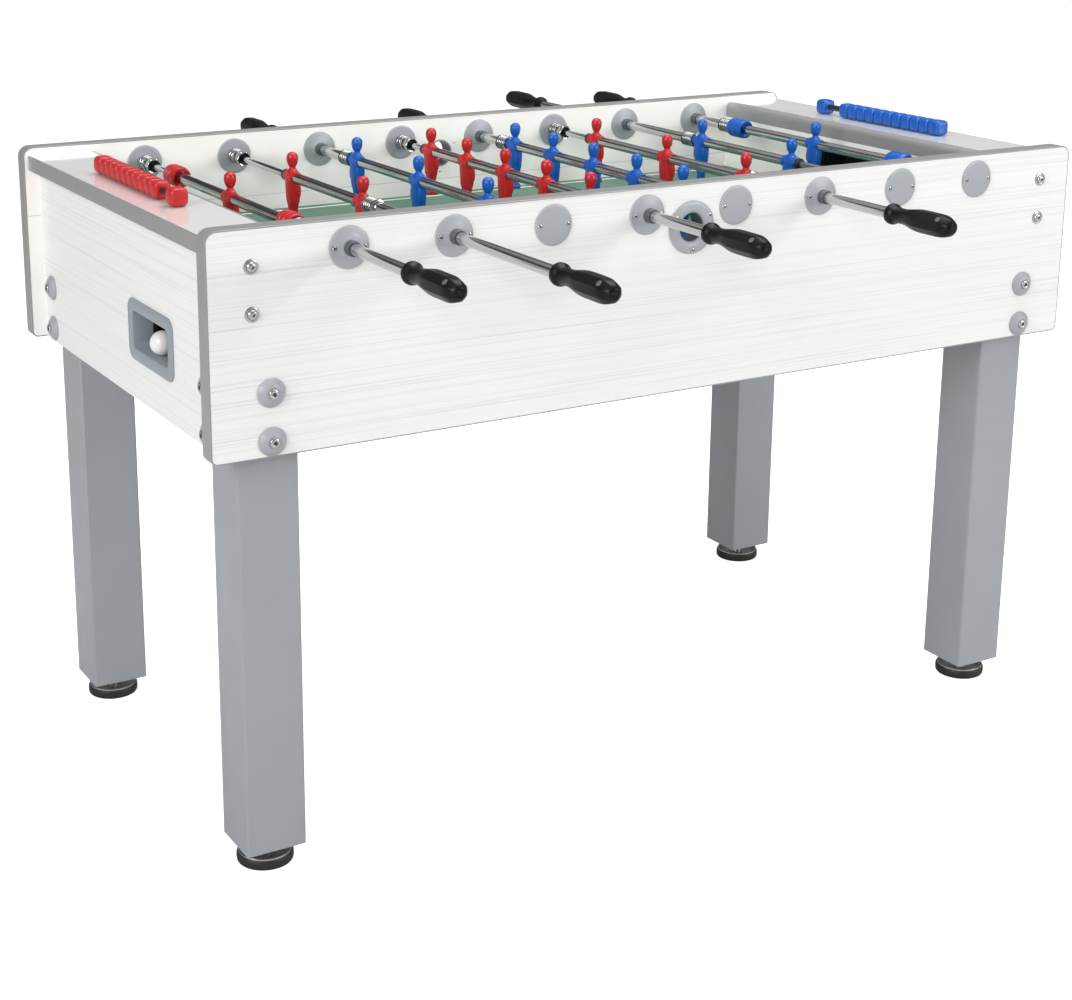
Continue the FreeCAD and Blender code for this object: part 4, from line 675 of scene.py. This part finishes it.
def player():
    """One player about the origin, facing +X, with the rod through the shoulders along Y."""
    shape = bmesh.new()
    ring = bmesh.ops.create_circle(shape, segments=24, radius=1)["verts"]
    edges = list({edge for vert in ring for edge in vert.link_edges})
    angles = {vert: math.atan2(vert.co.y, vert.co.x) for vert in ring}
    for number, (height, depth, width, square) in enumerate(LEVELS):
        if number:
            grown = bmesh.ops.extrude_edge_only(shape, edges=edges)["geom"]
            ring = [item for item in grown if isinstance(item, bmesh.types.BMVert)]
            edges = [item for item in grown if isinstance(item, bmesh.types.BMEdge)]
            angles = {vert: math.atan2(vert.co.y / width_was, vert.co.x / depth_was) if square_was == 2 else
                      math.atan2(math.copysign(abs(vert.co.y / width_was) ** (square_was / 2), vert.co.y),
                                 math.copysign(abs(vert.co.x / depth_was) ** (square_was / 2), vert.co.x))
                      for vert in ring}
        for vert in ring:
            cos, sin = math.cos(angles[vert]), math.sin(angles[vert])
            vert.co = (math.copysign(abs(cos) ** (2 / square), cos) * depth / 1000,
                       math.copysign(abs(sin) ** (2 / square), sin) * width / 1000, height / 1000)
        depth_was, width_was, square_was = depth / 1000, width / 1000, square
    bmesh.ops.holes_fill(shape, edges=shape.edges)
    for vert in shape.verts:
        if -0.062 < vert.co.z < -0.0385:
            vert.co.x *= 1 - 0.24 * math.exp(-(vert.co.y / 0.0022) ** 2)
        if vert.co.z < -0.0625 and vert.co.x > 0:
            vert.co.x += 0.0016
    for sign in (-1, 1):
        lean = Matrix.Rotation(sign * math.radians(2), 4, "X") @ Matrix.Rotation(math.radians(-8), 4, "Y")
        bmesh.ops.create_uvsphere(shape, u_segments=12, v_segments=8, radius=1,
                                  matrix=Matrix.Translation((0.0015, sign * 0.0119, -0.0125)) @ lean @
                                  Matrix.Diagonal((0.0062, 0.0037, 0.0190, 1)))
    boss = bmesh.ops.create_cone(shape, cap_ends=True, segments=24, radius1=0.0100, radius2=0.0100,
                                 depth=0.0318, matrix=Matrix.Rotation(math.pi / 2, 4, "X"))["verts"]
    rims = [edge for edge in {edge for vert in boss for edge in vert.link_edges}
            if abs(edge.verts[0].co.y - edge.verts[1].co.y) < 1e-6]
    bmesh.ops.bevel(shape, geom=rims, offset=0.0012, segments=2, profile=0.5, affect="EDGES", material=-1)
    bmesh.ops.recalc_face_normals(shape, faces=shape.faces)
    return shape


for rod_name, x, z, handle_sign in rods:
    team, role = rod_name.split("_")
    low, high = (Vector(corner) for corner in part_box(f"{rod_name}_men"))
    keeper = role == "keeper"
    count = COUNTS[role]
    face_turn = Matrix.Rotation(0 if team == "red" else math.pi, 4, "Z")
    if keeper:
        spots = [(low.y + high.y) / 2]
    else:
        first, last = low.y + BOSS_HALF, high.y - BOSS_HALF
        spots = [first + (last - first) * number / (count - 1) for number in range(count)]
    men = bmesh.new()
    add_shape(men, player(), [Matrix.Translation((x, y, z)) @ face_turn for y in spots])
    piece = make_piece(f"{rod_name}_players", men, [TEAM[team]], f"{rod_name}_outer", [f"{rod_name}_men"])
    smoothing = piece.modifiers.new("moulded curves", "SUBSURF")
    smoothing.levels = smoothing.render_levels = 1
    if keeper:
        drums = bmesh.new()
        drum = turned([(8.1, 5), (12.4, 3.5), (12.4, 0.8), (13.2, 0), (14.6, 0.6), (15.8, 3), (16.4, 7),
                       (16.4, 11.5), (15.2, 12.6), (15.2, 14.6), (16.4, 15.7), (16.4, 24.3), (15.2, 25.4),
                       (15.2, 27.4), (16.4, 28.5), (16.4, 33), (15.8, 37), (14.6, 39.4), (13.2, 40),
                       (12.4, 39.2), (12.4, 36.5), (8.1, 35)])
        add_shape(drums, drum, [facing(x, low.y, z, 1), facing(x, high.y - DRUM_LENGTH, z, 1)])
        make_piece(f"{rod_name}_stop_drums", drums, [TEAM[team]], f"{rod_name}_outer")

# ------------------------------------------------------------------ scorers
# Ten plastic blocks slide on a black rod above each end shelf, with a knob at both ends that holds
# the rod on the shelf. Nine stand together and the tenth stands apart.
scorer_black = moulded("black scorer rod", (0.012, 0.012, 0.012), 0.35)
rail_low, rail_high = (Vector(corner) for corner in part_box("scorer_rails"))


def rounded_block(side, length, corner, rim):
    """A square block along Z with rounded corners and softly rounded ends."""
    block = bmesh.new()
    bmesh.ops.create_cube(block, size=1, matrix=Matrix.Diagonal((side, side, length, 1)))
    upright = [edge for edge in block.edges if abs(edge.verts[0].co.z - edge.verts[1].co.z) > 0.01]
    bmesh.ops.bevel(block, geom=upright, offset=corner, segments=4, profile=0.5, affect="EDGES", material=-1)
    rims = [edge for edge in block.edges if edge.calc_face_angle(0) > 1.2 and
            abs(edge.verts[0].co.z - edge.verts[1].co.z) < 1e-6]
    bmesh.ops.bevel(block, geom=rims, offset=rim, segments=4, profile=0.5, affect="EDGES", material=-1)
    return block


for end, team in (("left", "red"), ("right", "blue")):
    for node, body, count in ((f"{end}_scorer_beads", f"{end}_bead_row", 9),
                              (f"{end}_scorer_lead_bead", f"{end}_lead_bead", 1)):
        low, high = (Vector(corner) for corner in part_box(node))
        pitch = (high.y - low.y) / count
        side = high.z - low.z
        beads = bmesh.new()
        add_shape(beads, rounded_block(side, pitch - 0.0002, side * 0.27, side * 0.22),
                  [facing((low.x + high.x) / 2, low.y + pitch * (number + 0.5), (low.z + high.z) / 2, 1)
                   for number in range(count)])
        make_piece(f"{node}_blocks", beads, [TEAM[team]], body, [node])
rails = bmesh.new()
knob_side = rail_high.z - rail_low.z
rail_x = (rail_high.x - rail_low.x - knob_side) / 2
rail_z = (rail_high.z + rail_low.z) / 2
half = (rail_high.y - rail_low.y) / 2
for finish, sign in ((1, -1), (2, 1)):
    x = sign * rail_x
    add_shape(rails, turned([(0, 0), (4.6, 0), (5, 0.4), (5, 2000 * half - 20.4), (4.6, 2000 * half - 20),
                             (0, 2000 * half - 20)], steps=32), [facing(x, -half + 0.010, rail_z, 1)], 0)
    for end_sign in (-1, 1):
        knob = rounded_block(knob_side - 0.001, knob_side - 0.001, knob_side * 0.28, knob_side * 0.2)
        add_shape(rails, knob, [facing(x, end_sign * (half - knob_side / 2), rail_z, end_sign)], finish)
make_piece("scorer_rod_set", rails, [scorer_black, red_plastic, blue_plastic], "cabinet", ["scorer_rails"])

# ------------------------------------------------------------------ floor, light and camera
# A pale studio floor, soft light from the left, the front right and above, and a dark band in the
# surroundings, above the horizon, that only the polished metal shows.
floor = bmesh.new()
bmesh.ops.create_grid(floor, x_segments=1, y_segments=1, size=40)
floor_mesh = bpy.data.meshes.new("studio_floor")
floor.to_mesh(floor_mesh)
floor.free()
floor_pale = moulded("pale studio floor", (0.72, 0.72, 0.72), 0.8, Mottle=0.02, Grain=4.0)
paint = floor_pale.node_tree
glow = paint.nodes["Principled BSDF"].inputs
glow["Emission Color"].default_value = (1, 1, 1, 1)
paint.links.new(maths(paint, "MULTIPLY", add(paint, "ShaderNodeLightPath").outputs["Is Camera Ray"], 0.8),
                glow["Emission Strength"])
floor_mesh.materials.append(floor_pale)
studio_floor = bpy.data.objects.new("studio_floor", floor_mesh)
bpy.context.scene.collection.objects.link(studio_floor)

world = bpy.data.worlds.new("studio")
bpy.context.scene.world = world
world.use_nodes = True
sky = world.node_tree
direction = add(sky, "ShaderNodeSeparateXYZ", {0: add(sky, "ShaderNodeTexCoord").outputs["Generated"]})
band = add(sky, "ShaderNodeValToRGB", {0: maths(sky, "MULTIPLY_ADD", direction.outputs["Z"], 0.5, 0.5)})
steps = [(0.0, 0.7), (0.5, 0.75), (0.6, 0.8), (0.645, 0.1), (0.71, 0.12), (0.78, 0.95), (1.0, 1.1)]
ramp = band.color_ramp
while len(ramp.elements) < len(steps):
    ramp.elements.new(0.5)
for element, (position, level) in zip(ramp.elements, steps):
    element.position = position
    element.color = (level, level, level, 1)
seen = add(sky, "ShaderNodeMix", {0: add(sky, "ShaderNodeLightPath").outputs["Is Camera Ray"],
                                  6: band.outputs[0], 7: (2.3, 2.3, 2.3, 1)}, data_type="RGBA")
sky.links.new(seen.outputs[2], sky.nodes["Background"].inputs["Color"])
sky.nodes["Background"].inputs["Strength"].default_value = 0.45

for name, spot, aim, size, power in (("key", (-5.6, -2.6, 3.2), (0, 0, 0.6), 3.0, 295),
                                     ("top", (0.4, 0.0, 3.4), (0, 0, 0.7), 2.4, 75),
                                     ("side", (3.2, -4.2, 2.1), (0.6, 0, 0.6), 2.0, 135)):
    light = bpy.data.lights.new(name, "AREA")
    light.energy = power
    light.shape = "SQUARE"
    light.size = size
    holder = bpy.data.objects.new(name, light)
    holder.location = spot
    holder.rotation_euler = (Vector(aim) - Vector(spot)).to_track_quat("-Z", "Y").to_euler()
    bpy.context.scene.collection.objects.link(holder)

bpy.context.scene.view_settings.view_transform = "Standard"
camera = bpy.data.cameras.new("camera")
camera.lens = 65.64
camera.shift_x = 0.0401
camera.shift_y = -0.1493
viewer = bpy.data.objects.new("camera", camera)
turn = (Matrix.Rotation(math.radians(-29.983), 4, "Z") @ Matrix.Rotation(math.radians(90 - 14.565), 4, "X") @
        Matrix.Rotation(math.radians(0.298), 4, "Z"))
viewer.matrix_world = Matrix.Translation((-1.5662, -2.5466, 1.3566)) @ turn
bpy.context.scene.collection.objects.link(viewer)
bpy.context.scene.camera = viewer
